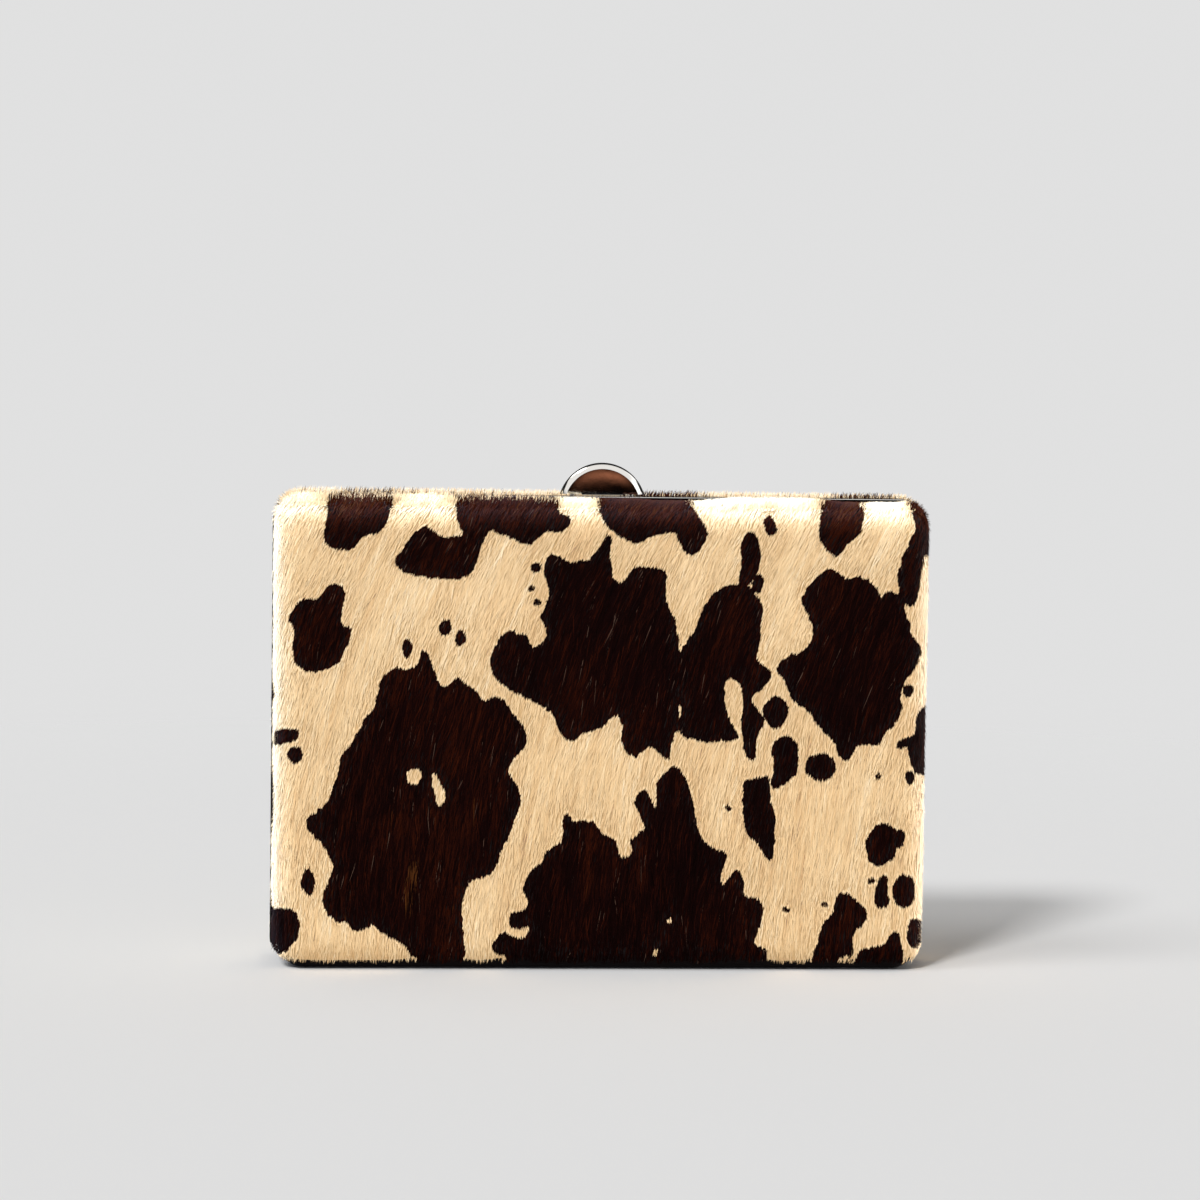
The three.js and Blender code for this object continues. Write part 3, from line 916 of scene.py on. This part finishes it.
SHADE_RANGE = (0.02, 0.98)


def lean_angle(v):
    """How far the hair leans from straight down at a height of the sheet, to the left of a viewer."""
    up = np.clip(v / FLAT_V, -1, 1)
    above = (LEAN_TOP - LEAN_MIDDLE) * np.maximum(up, 0) ** LEAN_BEND
    below = (LEAN_BOTTOM - LEAN_MIDDLE) * np.maximum(-up, 0)
    return LEAN_MIDDLE + above + below


def flow_line(u, v, sign):
    """Where the line of flow through a point crosses the middle of the sheet."""
    heights = np.linspace(-FLAT_V - SHEET_EDGE, FLAT_V + SHEET_EDGE, FLOW_STEPS)
    slopes = np.tan(lean_angle(heights))
    drift = np.cumsum(slopes) * (heights[1] - heights[0])
    return u + sign * np.interp(v, heights, drift)


def hair_depth(rng, u, v, sign, edge):
    """How deep the hairs lie in the dark patches, mixed where the coat turns round the edge."""
    on_top = edge["on_top"]
    mixed = rng.normal(0, MIX_WIDTH, u.size) * np.maximum(edge["wrap"], on_top) * (1 + edge["corner"])
    depth = patch_depth(u + mixed, v, sign)
    dark_share = np.interp(u, *(np.array(BACK_TOP_DARK).T * [[MM], [1]]))
    fringe_depth = np.where(rng.uniform(0, 1, u.size) < dark_share, MM, -MM)
    depth = np.where((sign > 0) & (on_top > FRINGE_FROM), fringe_depth, depth)
    tip_share = np.where(u < PALE_TIPS_LEFT_OF, PALE_TIPS, 0) * np.clip(4 * on_top - 3, 0, 1)
    pale_tip = (sign < 0) & (rng.uniform(0, 1, u.size) < tip_share)
    return np.where(pale_tip, -MM, depth)


def hair_shade(rng, u, v, sign, dark, on_top):
    """The shade of each hair, from 0 to 1, and which of the dark hairs are pale strays."""
    line = flow_line(u, v, sign)
    shade = np.full(u.size, MIDDLE_SHADE)
    for grain in SHADE_GRAINS:
        place = line if grain["combed"] else u
        noise = soft_noise(place / grain["wide"], v / grain["tall"], grain["seed"])
        shade = shade + np.where(dark, grain["dark"], grain["pale"]) * noise
    shade = shade + np.where(dark, DARK_SHAKE, PALE_SHAKE) * rng.normal(0, 1, u.size)
    # Dark hairs near the top edge are painted lighter and warmer, up to a cap: a painted sheen from the light
    # above.
    sheen_crest = np.clip((v - FLAT_V) / CREST_SHEEN_RUN, 0, 1)
    shade = np.where(dark, np.minimum(shade + CREST_SHEEN * sheen_crest, DARK_CAP), shade)
    # The pale hairs of the back's top edge vary at random and are painted lighter on the whole, as painted
    # top light, since the top lamp is kept off them.
    shade = shade + rng.uniform(*FRINGE_TONE_AND_TOP_LIGHT, u.size) * on_top * ~dark * (sign > 0)
    stray = dark & (rng.uniform(0, 1, u.size) < STRAY_SHARE)
    shade = np.where(stray, STRAY_SHADE, shade)
    rusty = np.zeros(u.size, bool)
    for spot in RUSTY_SPOTS:
        rusty |= depth_in_spot(spot, *chart_place(u, v), CHART_REACH) > 0
    rusty &= dark & (sign < 0) & (rng.uniform(0, 1, u.size) < RUSTY_SHARE)
    shade = np.where(rusty, RUSTY_SHADE, shade)
    return np.clip(shade, *SHADE_RANGE), stray


leans = [round(math.degrees(lean_angle(v))) for v in (FLAT_V, 0, -FLAT_V)]
print("hair leans", leans, "degrees from top to base")

# %% [markdown]
# ## Combing
# Every hair is a small spindle with a root under the skin, a middle and a tip. The combing follows the
# photograph: down, and leaning to the left, most of all near the top, while the crest of the front is swept
# up. A hair close to the rim of a patch is shortened, so that the patches stay crisp, and so is one that
# stands up.

# %% Comb the hair
HAIR_LENGTH = 8.2 * MM
SIZE_SPREAD = (0.75, 1.2)
SHORTEST_HAIR = 1.0 * MM
PATCH_RIM_LENGTH = 0.7 * MM
PATCH_RIM_GROWTH = 1.6
STANDING_CUT = 0.25
STANDING_CUT_MOST = 0.7
SHOWN_SHARE = 0.65
LEAN_WAVE = 0.08
LEAN_WAVE_WIDE = 9 * MM
LEAN_WAVE_TALL = 14 * MM
LEAN_WAVE_SEED = 31
LEAN_SHAKE = 0.08
LEAN_SHAKE_EDGE = 0.35
FRINGE_LEAN = 0.15
SWEPT_UP_FROM = 0.4
SWEPT_UP_LENGTH = 0.6
TURN_SHAKE = 0.10
ROOT_SUNK = 0.08 * MM
# A hair's middle and tip lie off the skin by a least part and a part left to chance, in millimetres.
MIDDLE_LAYER = (0.08, 0.16)
TIP_LAYER = (0.12, 0.30)
# They take these shares of the stand: a least one, and what chance or the top edge adds to it.
MIDDLE_STAND = (0.25, 0.35)
TIP_STAND = (0.2, 0.4)
STRAY_WIDTH = 0.6
TOP_FINER = 0.3


def comb_hair(sign, pitch, width, seed):
    """The hairs of one cover: points on the sheet and lifts for root, middle and tip, with their colours."""
    rng = np.random.default_rng(seed)
    u, v, to_base = scatter_hair(rng, pitch, sign)
    count = u.size
    edge = edge_stand(u, v, sign)
    stand, on_top = edge["stand"], edge["on_top"]
    depth = hair_depth(rng, u, v, sign, edge)
    dark = depth > 0

    long = HAIR_LENGTH * rng.uniform(*SIZE_SPREAD, count)
    long = np.clip(PATCH_RIM_LENGTH + PATCH_RIM_GROWTH * np.abs(depth), SHORTEST_HAIR, long)
    long = long * (1 - np.minimum(STANDING_CUT * stand / MM, STANDING_CUT_MOST))
    long = np.minimum(long, to_base / (1 - SHOWN_SHARE))
    wave = soft_noise(u / LEAN_WAVE_WIDE, v / LEAN_WAVE_TALL, LEAN_WAVE_SEED)
    lean = lean_angle(v) + LEAN_WAVE * wave
    shake = rng.normal(0, LEAN_SHAKE + LEAN_SHAKE_EDGE * edge["wrap"], count)
    lean = lean + FRINGE_LEAN * on_top * (sign > 0) + shake
    swept_up = (on_top > SWEPT_UP_FROM) & (sign < 0)
    lean = np.where(swept_up, lean + math.pi, lean)
    long = np.where(swept_up, SWEPT_UP_LENGTH * long, long)
    turn = rng.normal(0, TURN_SHAKE, count)

    def step(start_u, start_v, angle, distance):
        return start_u + sign * np.sin(angle) * distance, start_v - np.cos(angle) * distance

    root = step(u, v, lean, -SHOWN_SHARE * long)
    middle = step(*root, lean, long / 2)
    tip = step(*middle, lean + turn, long / 2)
    spread = rng.uniform(0, 1, count)
    middle_share = MIDDLE_STAND[0] + MIDDLE_STAND[1] * spread
    tip_share = rng.uniform(TIP_STAND[0] + TIP_STAND[1] * on_top, 1)
    lifts = (
        np.full(count, -ROOT_SUNK),
        (MIDDLE_LAYER[0] + MIDDLE_LAYER[1] * spread) * MM + stand * middle_share,
        (TIP_LAYER[0] + TIP_LAYER[1] * spread) * MM + stand * tip_share,
    )
    shade, stray = hair_shade(rng, u, v, sign, dark, on_top)
    finer = np.where(stray, STRAY_WIDTH, 1.0) * (1 - TOP_FINER * on_top)
    return {
        "points": (root, middle, tip),
        "lifts": lifts,
        "width": width * rng.uniform(*SIZE_SPREAD, count) * finer,
        "shade": shade,
        "dark": dark,
        "upper": v > 0,
        "sign": sign,
    }


combed = {}
for cover, settings in COVERS.items():
    combed[cover] = comb_hair(**settings)
    print(cover, combed[cover]["dark"].size, "hairs,", int(combed[cover]["dark"].sum()), "of them dark")

# %% [markdown]
# ## Hair as meshes
# Tens of thousands of hairs are too many for operators, so their points and faces are written as arrays: a
# hair is a root, a flat ring of three points and a tip. Each hair also gets a place on a UV map: across is
# its shade and up is the way from root to tip. The hair finish reads only that map, so the same map can
# hold a baked picture of the colours. The normals are turned towards the skin's, so that the coat shades as
# one soft surface.

# %% Build the hair
BAKE_MAP = "OFBake"
SHADE_WIDTH = 0.006
MAP_HEIGHT = 0.25
SIDE_TURN = 0.6
RING_HEIGHT = 0.8
FLOOR_CLEARANCE = 0.04 * MM
HAIR_FACES = np.array([(0, 2, 1), (0, 3, 2), (0, 1, 3), (4, 1, 2), (4, 2, 3), (4, 3, 1)])
HAIR_MAP = np.array([(0.0, 0.0), (-1.0, 0.5), (0.0, 0.5), (1.0, 0.5), (0.0, 1.0)])
HAIR_POINTS = len(HAIR_MAP)


def build_hair(name, hair, chosen):
    """One mesh of all the chosen hairs, each a closed spindle of six faces."""
    sign = hair["sign"]
    ends = []
    for (u, v), lift in zip(hair["points"], hair["lifts"]):
        over = past_flat(u[chosen], v[chosen])[2]
        pull = np.where(over > SHEET_EDGE, (over - SHEET_EDGE) / np.maximum(over, 1e-9), 0)
        keep_u, keep_v = u[chosen] * (1 - pull), v[chosen] * (1 - pull)
        ends.append(bend_sheet(keep_u, keep_v, lift[chosen], sign))
    root, middle, tip = ends
    along = tip - root
    along /= np.linalg.norm(along, axis=1, keepdims=True)
    (mid_u, mid_v), mid_lift = hair["points"][1], hair["lifts"][1]
    above = bend_sheet(mid_u[chosen], mid_v[chosen], mid_lift[chosen] + MM, sign)
    outward = above - bend_sheet(mid_u[chosen], mid_v[chosen], mid_lift[chosen], sign)
    outward -= along * np.sum(along * outward, axis=1, keepdims=True)
    outward /= np.linalg.norm(outward, axis=1, keepdims=True)
    across = np.cross(along, outward)
    across /= np.linalg.norm(across, axis=1, keepdims=True)
    half = hair["width"][chosen][:, None] / 2
    ring = [middle - half * across, middle + RING_HEIGHT * half * outward, middle + half * across]
    points = np.stack([root, *ring, tip], axis=1)
    points[:, :, 2] = np.maximum(points[:, :, 2], FLOOR_CLEARANCE)
    count = len(points)

    mesh = bpy.data.meshes.new(name)
    mesh.vertices.add(count * HAIR_POINTS)
    mesh.vertices.foreach_set("co", points.ravel())
    corners = (np.arange(count)[:, None, None] * HAIR_POINTS + HAIR_FACES).ravel()
    mesh.loops.add(corners.size)
    mesh.loops.foreach_set("vertex_index", corners)
    mesh.polygons.add(corners.size // 3)
    mesh.polygons.foreach_set("loop_start", np.arange(0, corners.size, 3))
    mesh.polygons.foreach_set("use_smooth", np.ones(corners.size // 3, bool))
    layout = np.tile(HAIR_MAP[HAIR_FACES.ravel()], (count, 1)).reshape(count, -1, 2)
    layout = layout * (SHADE_WIDTH, MAP_HEIGHT)
    layout[:, :, 0] += hair["shade"][chosen][:, None]
    uv_map = mesh.uv_layers.new(name=BAKE_MAP)
    uv_map.data.foreach_set("uv", np.ascontiguousarray(layout).ravel())
    mesh.update(calc_edges=True)
    mesh.validate()
    soft = np.repeat(outward[:, None, :], HAIR_POINTS, axis=1)
    soft[:, 1] -= SIDE_TURN * across
    soft[:, 3] += SIDE_TURN * across
    soft /= np.linalg.norm(soft, axis=2, keepdims=True)
    mesh.normals_split_custom_set_from_vertices(soft.reshape(-1, 3))
    piece = bpy.data.objects.new(name, mesh)
    bpy.context.scene.collection.objects.link(piece)
    return piece


front, back = combed["front"], combed["back"]
hair_pieces = {
    "front_hair_pale_upper": (front, ~front["dark"] & front["upper"]),
    "front_hair_pale_lower": (front, ~front["dark"] & ~front["upper"]),
    "front_hair_dark_upper": (front, front["dark"] & front["upper"]),
    "front_hair_dark_lower": (front, front["dark"] & ~front["upper"]),
    "back_hair_pale": (back, ~back["dark"]),
    "back_hair_dark": (back, back["dark"]),
}
for name, (hair, chosen) in hair_pieces.items():
    hair_pieces[name] = build_hair(name, hair, chosen)
    print(name, triangles(hair_pieces[name]), "triangles")

# %% [markdown]
# ## Hair finishes
# Both finishes work the same way: the shade across the map picks a colour, and the root is darker than the
# tip, because little light reaches it. Hair has a soft shine, so the roughness stays middling.


# %% Finish the hair
def hair_finish(name, shades, root_shade, roughness, specular, sheen):
    material, tree, shader = new_finish(name, shades[0][1], roughness[0], specular=specular)
    shader.inputs["Sheen Weight"].default_value = sheen
    shader.inputs["Sheen Roughness"].default_value = 0.4
    layout = add_node(tree, "ShaderNodeUVMap", uv_map=BAKE_MAP)
    split = add_node(tree, "ShaderNodeSeparateXYZ")
    tree.links.new(layout.outputs["UV"], split.inputs["Vector"])
    colour = add_ramp(tree, split.outputs["X"], shades)
    tipward = add_node(tree, "ShaderNodeMapRange", {"From Max": MAP_HEIGHT})
    tree.links.new(split.outputs["Y"], tipward.inputs["Value"])
    shadow = add_ramp(tree, tipward.outputs["Result"], [(0.0, grey(root_shade)), (0.75, grey(1.0))])
    tint = add_node(tree, "ShaderNodeMix", {"Factor": 1.0}, data_type="RGBA", blend_type="MULTIPLY")
    tree.links.new(colour, tint.inputs["A"])
    tree.links.new(shadow, tint.inputs["B"])
    tree.links.new(tint.outputs["Result"], shader.inputs["Base Color"])
    rough = add_node(tree, "ShaderNodeMapRange", {"To Min": roughness[0], "To Max": roughness[1]})
    tree.links.new(split.outputs["X"], rough.inputs["Value"])
    tree.links.new(rough.outputs["Result"], shader.inputs["Roughness"])
    return material


PALE_SHADES = [
    (0.0, (0.34, 0.19, 0.10)),
    (0.12, (0.66, 0.40, 0.18)),
    (0.3, (0.80, 0.53, 0.26)),
    (0.7, (0.90, 0.65, 0.36)),
    (1.0, (0.98, 0.80, 0.54)),
]
# Shades near 0.8 are mostly the painted sheen along the top edge; 0.89 is for the rusty spots and 1.0 for the
# strays.
DARK_SHADES = [
    (0.2, (0.002, 0.0005, 0.0004)),
    (0.5, (0.0065, 0.0014, 0.0012)),
    (0.8, (0.038, 0.0066, 0.0020)),
    (0.89, (0.065, 0.021, 0.005)),
    (1.0, (0.09, 0.058, 0.045)),
]
pale_finish = hair_finish("cream_hair", PALE_SHADES, 0.8, (0.5, 0.4), specular=0.45, sheen=0.3)
dark_finish = hair_finish("dark_brown_hair", DARK_SHADES, 0.9, (0.6, 0.5), specular=0.01, sheen=0.0)
for name, piece in hair_pieces.items():
    piece.data.materials.append(dark_finish if "dark" in name else pale_finish)
    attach(piece, name.split("_")[0] + "_half")
    if name.startswith("back"):
        keep_light_off(piece, ["top_rim"])
print("hair finishes", pale_finish.name, dark_finish.name)

# %% [markdown]
# ## Nickel finish
# The frame and the tab are polished nickel: a warm grey metal with a little wear. Noise varies the
# roughness in soft clouds, and a faint bump breaks the reflections as hand polishing does.

# %% Finish for the metal
nickel_finish, tree, shader = new_finish("polished_nickel", (0.80, 0.77, 0.73), 0.1, metallic=1.0)
place = add_node(tree, "ShaderNodeTexCoord")
clouds = add_node(tree, "ShaderNodeTexNoise", {"Scale": 160.0, "Detail": 5.0, "Roughness": 0.6})
ripple = add_node(tree, "ShaderNodeTexNoise", {"Scale": 420.0, "Detail": 2.0})
tree.links.new(place.outputs["Object"], clouds.inputs["Vector"])
tree.links.new(place.outputs["Object"], ripple.inputs["Vector"])
wear_range = {"From Min": 0.3, "From Max": 0.7, "To Min": 0.04, "To Max": 0.10}
wear = add_node(tree, "ShaderNodeMapRange", wear_range)
tree.links.new(clouds.outputs["Fac"], wear.inputs["Value"])
tree.links.new(wear.outputs["Result"], shader.inputs["Roughness"])
bump = add_node(tree, "ShaderNodeBump", {"Strength": 0.015, "Distance": 0.0002})
tree.links.new(ripple.outputs["Fac"], bump.inputs["Height"])
tree.links.new(bump.outputs["Normal"], shader.inputs["Normal"])


SHARP_EDGE = math.radians(35)


def finish_metal(piece, body, *nodes):
    select_only(piece)
    bpy.ops.object.shade_smooth_by_angle(angle=SHARP_EDGE)
    piece.data.materials.clear()
    piece.data.materials.append(nickel_finish)
    keep_light_off(piece, COAT_LAMPS)
    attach(piece, body)
    if nodes:
        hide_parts(*nodes)
    print(piece.name, triangles(piece), "triangles")


# %% [markdown]
# ## Frame bows
# Each half has a nickel bow: a flat ring that shows as a bright line between the covers, a flange that the
# cover is glued to, and knuckles along the base that take the hinge pin. A ring starts as a plane with
# rounded corners, is inset to a band and extruded to its depth. The bow is cut off above the hinge, where
# the knuckles take its place. All of it is soldered, so the parts are fused into one solid.

# %% Model the frame bows
BOW_PROUD = 0.8 * MM
BOW_INSET = 3.2 * MM
BOW_DEPTH = (0.15 * MM, 2.0 * MM)
BOW_CUT = 3.9 * MM
BOW_ROUND = 0.35 * MM
BOW_SHARP = math.radians(50)
BOW_SEGMENTS = 4
FLANGE_INSET = 2.3 * MM
FLANGE_DEPTH = (1.9 * MM, 6.0 * MM)
CORNER_RADIUS = 5.0 * MM
CORNER_SEGMENTS = 10
HINGE_AXIS_Z = 1.9 * MM
KNUCKLES = 7
KNUCKLE_RADIUS = 1.6 * MM
KNUCKLE_BORE = 0.9 * MM
KNUCKLE_GAP = 0.3 * MM
TUBE_SIDES = 32
WEB_DEPTH = (1.15 * MM, 2.6 * MM)
WEB_SHY = 0.03 * MM
HINGE_REACH = 59.2 * MM


def model_ring(name, outset, inset, depth, side):
    """A rounded rectangular band, from outset outside to inset inside the covers' outline."""
    bpy.ops.object.select_all(action="DESELECT")
    middle = (0, side * depth[0], HALF_HEIGHT)
    bpy.ops.mesh.primitive_plane_add(size=1, location=middle, rotation=(math.pi / 2, 0, 0))
    ring = bpy.context.object
    ring.name = name
    ring.scale = (2 * (HALF_WIDTH + outset), 2 * (HALF_HEIGHT + outset), 1)
    bpy.ops.object.transform_apply(location=True, rotation=True, scale=True)
    start_edit(ring)
    bpy.ops.mesh.select_all(action="SELECT")
    bpy.ops.mesh.bevel(offset=CORNER_RADIUS + outset, segments=CORNER_SEGMENTS, affect="VERTICES")
    bpy.ops.mesh.select_mode(type="FACE")
    bpy.ops.mesh.select_all(action="SELECT")
    bpy.ops.mesh.inset(thickness=outset + inset)
    bpy.ops.mesh.delete(type="FACE")
    bpy.ops.mesh.select_all(action="SELECT")
    deep = side * (depth[1] - depth[0])
    bpy.ops.mesh.extrude_region_move(TRANSFORM_OT_translate={"value": (0, deep, 0)})
    face_outward()
    end_edit()
    return ring


def model_tube(name, reach, centre, radius, bore):
    """A tube along X: a cylinder whose end faces are inset and bridged."""
    bpy.ops.object.select_all(action="DESELECT")
    middle = ((reach[0] + reach[1]) / 2, centre[0], centre[1])
    bpy.ops.mesh.primitive_cylinder_add(
        vertices=TUBE_SIDES,
        radius=radius,
        depth=reach[1] - reach[0],
        location=middle,
        rotation=(0, math.pi / 2, 0),
    )
    tube = bpy.context.object
    tube.name = name
    bpy.ops.object.transform_apply(location=True, rotation=True, scale=True)
    start_edit(tube)
    select_faces(tube, lambda place, normal: abs(normal.x) > FACING)
    bpy.ops.mesh.inset(thickness=radius - bore)
    bpy.ops.mesh.bridge_edge_loops()
    face_outward()
    end_edit()
    return tube


def model_bow(name, side, first_knuckle):
    bow = model_ring(name, BOW_PROUD, BOW_INSET, BOW_DEPTH, side)
    start_edit(bow)
    bpy.ops.mesh.select_all(action="SELECT")
    bpy.ops.mesh.bisect(plane_co=(0, 0, BOW_CUT), plane_no=(0, 0, 1), use_fill=True, clear_inner=True)
    face_outward()
    end_edit()
    bevel = {"width": BOW_ROUND, "segments": BOW_SEGMENTS, "limit_method": "ANGLE", "angle_limit": BOW_SHARP}
    apply_modifier(bow, "BEVEL", **bevel)
    parts = [model_ring("flange", -FLANGE_INSET, BOW_INSET, FLANGE_DEPTH, side)]
    pitch = 2 * HINGE_REACH / KNUCKLES
    run = HALF_WIDTH - CORNER_RADIUS
    web_y = sorted(side * deep for deep in WEB_DEPTH)
    for knuckle in range(first_knuckle, KNUCKLES, 2):
        left = -HINGE_REACH + knuckle * pitch + (KNUCKLE_GAP / 2 if knuckle else 0)
        right = -HINGE_REACH + (knuckle + 1) * pitch - (KNUCKLE_GAP / 2 if knuckle < KNUCKLES - 1 else 0)
        parts.append(model_tube("knuckle", (left, right), (0, HINGE_AXIS_Z), KNUCKLE_RADIUS, KNUCKLE_BORE))
        web_low = (max(left, -run), web_y[0], FLANGE_INSET + WEB_SHY)
        web_high = (min(right, run), web_y[1], BOW_INSET - WEB_SHY)
        parts.append(add_block("web", web_low, web_high))
    return fuse(bow, parts)


front_bow = model_bow("front_bow", -1, 1)
back_bow = model_bow("back_bow", 1, 0)
print("front bow", triangles(front_bow), "triangles, back bow", triangles(back_bow))

# %% [markdown]
# ## Ears for the tab
# Two small ears stand on the back bow and hold the pin that the tab turns on. Each one is a block with its
# edges rounded off.

# %% Model the ears
EAR_X = (5.2 * MM, 6.2 * MM)
EAR_Y = (1.05 * MM, 2.75 * MM)
EAR_Z = (90.45 * MM, 92.85 * MM)
EAR_ROUND = 0.3 * MM
EAR_SEGMENTS = 3

ears = []
for x_low, x_high in (EAR_X, (-EAR_X[1], -EAR_X[0])):
    ear = add_block("ear", (x_low, EAR_Y[0], EAR_Z[0]), (x_high, EAR_Y[1], EAR_Z[1]))
    apply_modifier(ear, "BEVEL", width=EAR_ROUND, segments=EAR_SEGMENTS)
    ears.append(ear)
fuse(back_bow, ears)
finish_metal(front_bow, "front_half", "front_frame")
finish_metal(back_bow, "back_half", "back_frame")

# %% [markdown]
# ## Thumb tab
# The tab is a half-round disc with a raised rim and a sunk, mirror-bright face. It starts as a disc: both
# faces are inset and pushed in, and their middles a little further, so that they are slightly dished. The
# front of the rim is sloped back, both of its edges are rounded with a bevel, and the disc is cut off flat.
# Then the front face is tipped down a little. Behind it a barrel turns on the pin, and a thin lip lies over
# the front bow.

# %% Model the tab
TAB_RADIUS = 8.5 * MM
TAB_CENTRE_Z = 88.7 * MM
TAB_CUT_Z = 91.2 * MM
TAB_THICK = 1.6 * MM
RIM_WIDTH = 1.15 * MM
RIM_SLOPE = 0.34 * MM
FACE_SUNK = 0.2 * MM
FACE_TILT = math.radians(2)
DISH_WIDTH = 2.0 * MM
DISH_DEPTH = 0.075 * MM
RIM_ROUND = 0.55 * MM
RIM_SEGMENTS = 5
TAB_SIDES = 128
ON_RIM = 0.98
FACE_MARGIN = 0.01 * MM
PIVOT = (1.9 * MM, 92.0 * MM)
BARREL_REACH = (-4.7 * MM, 4.7 * MM)
BARREL_RADIUS = 0.9 * MM
BARREL_BORE = 0.62 * MM
TAB_WEB = [(-4.65 * MM, 0.1 * MM, 91.3 * MM), (4.65 * MM, 1.25 * MM, 92.4 * MM)]
TAB_LIP = [(-4 * MM, -1.9 * MM, 91.1 * MM), (4 * MM, 0.4 * MM, 91.3 * MM)]
LIP_ROUND = 0.05 * MM

bpy.ops.object.select_all(action="DESELECT")
bpy.ops.mesh.primitive_cylinder_add(
    vertices=TAB_SIDES,
    radius=TAB_RADIUS,
    depth=TAB_THICK,
    location=(0, 0, TAB_CENTRE_Z),
    rotation=(math.pi / 2, 0, 0),
)
tab = bpy.context.object
tab.name = "thumb_tab"
bpy.ops.object.transform_apply(location=True, rotation=True, scale=True)
start_edit(tab)
for side in (-1, 1):
    select_faces(tab, lambda centre, normal: normal.y * side > FACING)
    bpy.ops.mesh.inset(thickness=RIM_WIDTH)
    bpy.ops.mesh.extrude_region_move(TRANSFORM_OT_translate={"value": (0, -side * FACE_SUNK, 0)})
    bpy.ops.mesh.inset(thickness=DISH_WIDTH)
    bpy.ops.transform.translate(value=(0, -side * DISH_DEPTH, 0))


def on_rim(a, b):
    """Edges of the outer wall's two circles, not the straight ones between them."""
    far = [math.hypot(p.x, p.z - TAB_CENTRE_Z) > ON_RIM * TAB_RADIUS for p in (a, b)]
    return all(far) and abs(a.y - b.y) < TOUCHING


select_edges(tab, lambda a, b: on_rim(a, b) and a.y < 0)
bpy.ops.transform.translate(value=(0, RIM_SLOPE, 0))
select_edges(tab, on_rim)
bpy.ops.mesh.bevel(offset=RIM_ROUND, segments=RIM_SEGMENTS, affect="EDGES")
bpy.ops.mesh.select_all(action="SELECT")
bpy.ops.mesh.bisect(plane_co=(0, 0, TAB_CUT_Z), plane_no=(0, 0, 1), use_fill=True, clear_inner=True)
face_outward()
face_y = FACE_SUNK - TAB_THICK / 2
face_top = TAB_CENTRE_Z + TAB_RADIUS - RIM_WIDTH


def on_front_face(centre, normal):
    """The sunk face at the front, with its dish."""
    return normal.y < -FACING and -FACE_MARGIN < centre.y - face_y < DISH_DEPTH + FACE_MARGIN


select_faces(tab, on_front_face)
bpy.ops.transform.rotate(value=-FACE_TILT, orient_axis="X", center_override=(0, face_y, face_top))
end_edit()
barrel = model_tube("barrel", BARREL_REACH, PIVOT, BARREL_RADIUS, BARREL_BORE)
web = add_block("tab_web", *TAB_WEB)
lip = add_block("tab_lip", *TAB_LIP)
apply_modifier(lip, "BEVEL", width=LIP_ROUND, segments=1)
fuse(tab, [web, barrel, lip])
finish_metal(tab, "clasp", "clasp_tab")

# %% [markdown]
# ## Pins
# The two pins are plain wire and are almost hidden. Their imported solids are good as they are, so they only
# get the metal finish.

# %% Finish the pins
for name in ("hinge_pin", "clasp_pin"):
    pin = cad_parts[name]
    pin.data.materials.clear()
    pin.data.materials.append(nickel_finish)
print("pins finished")
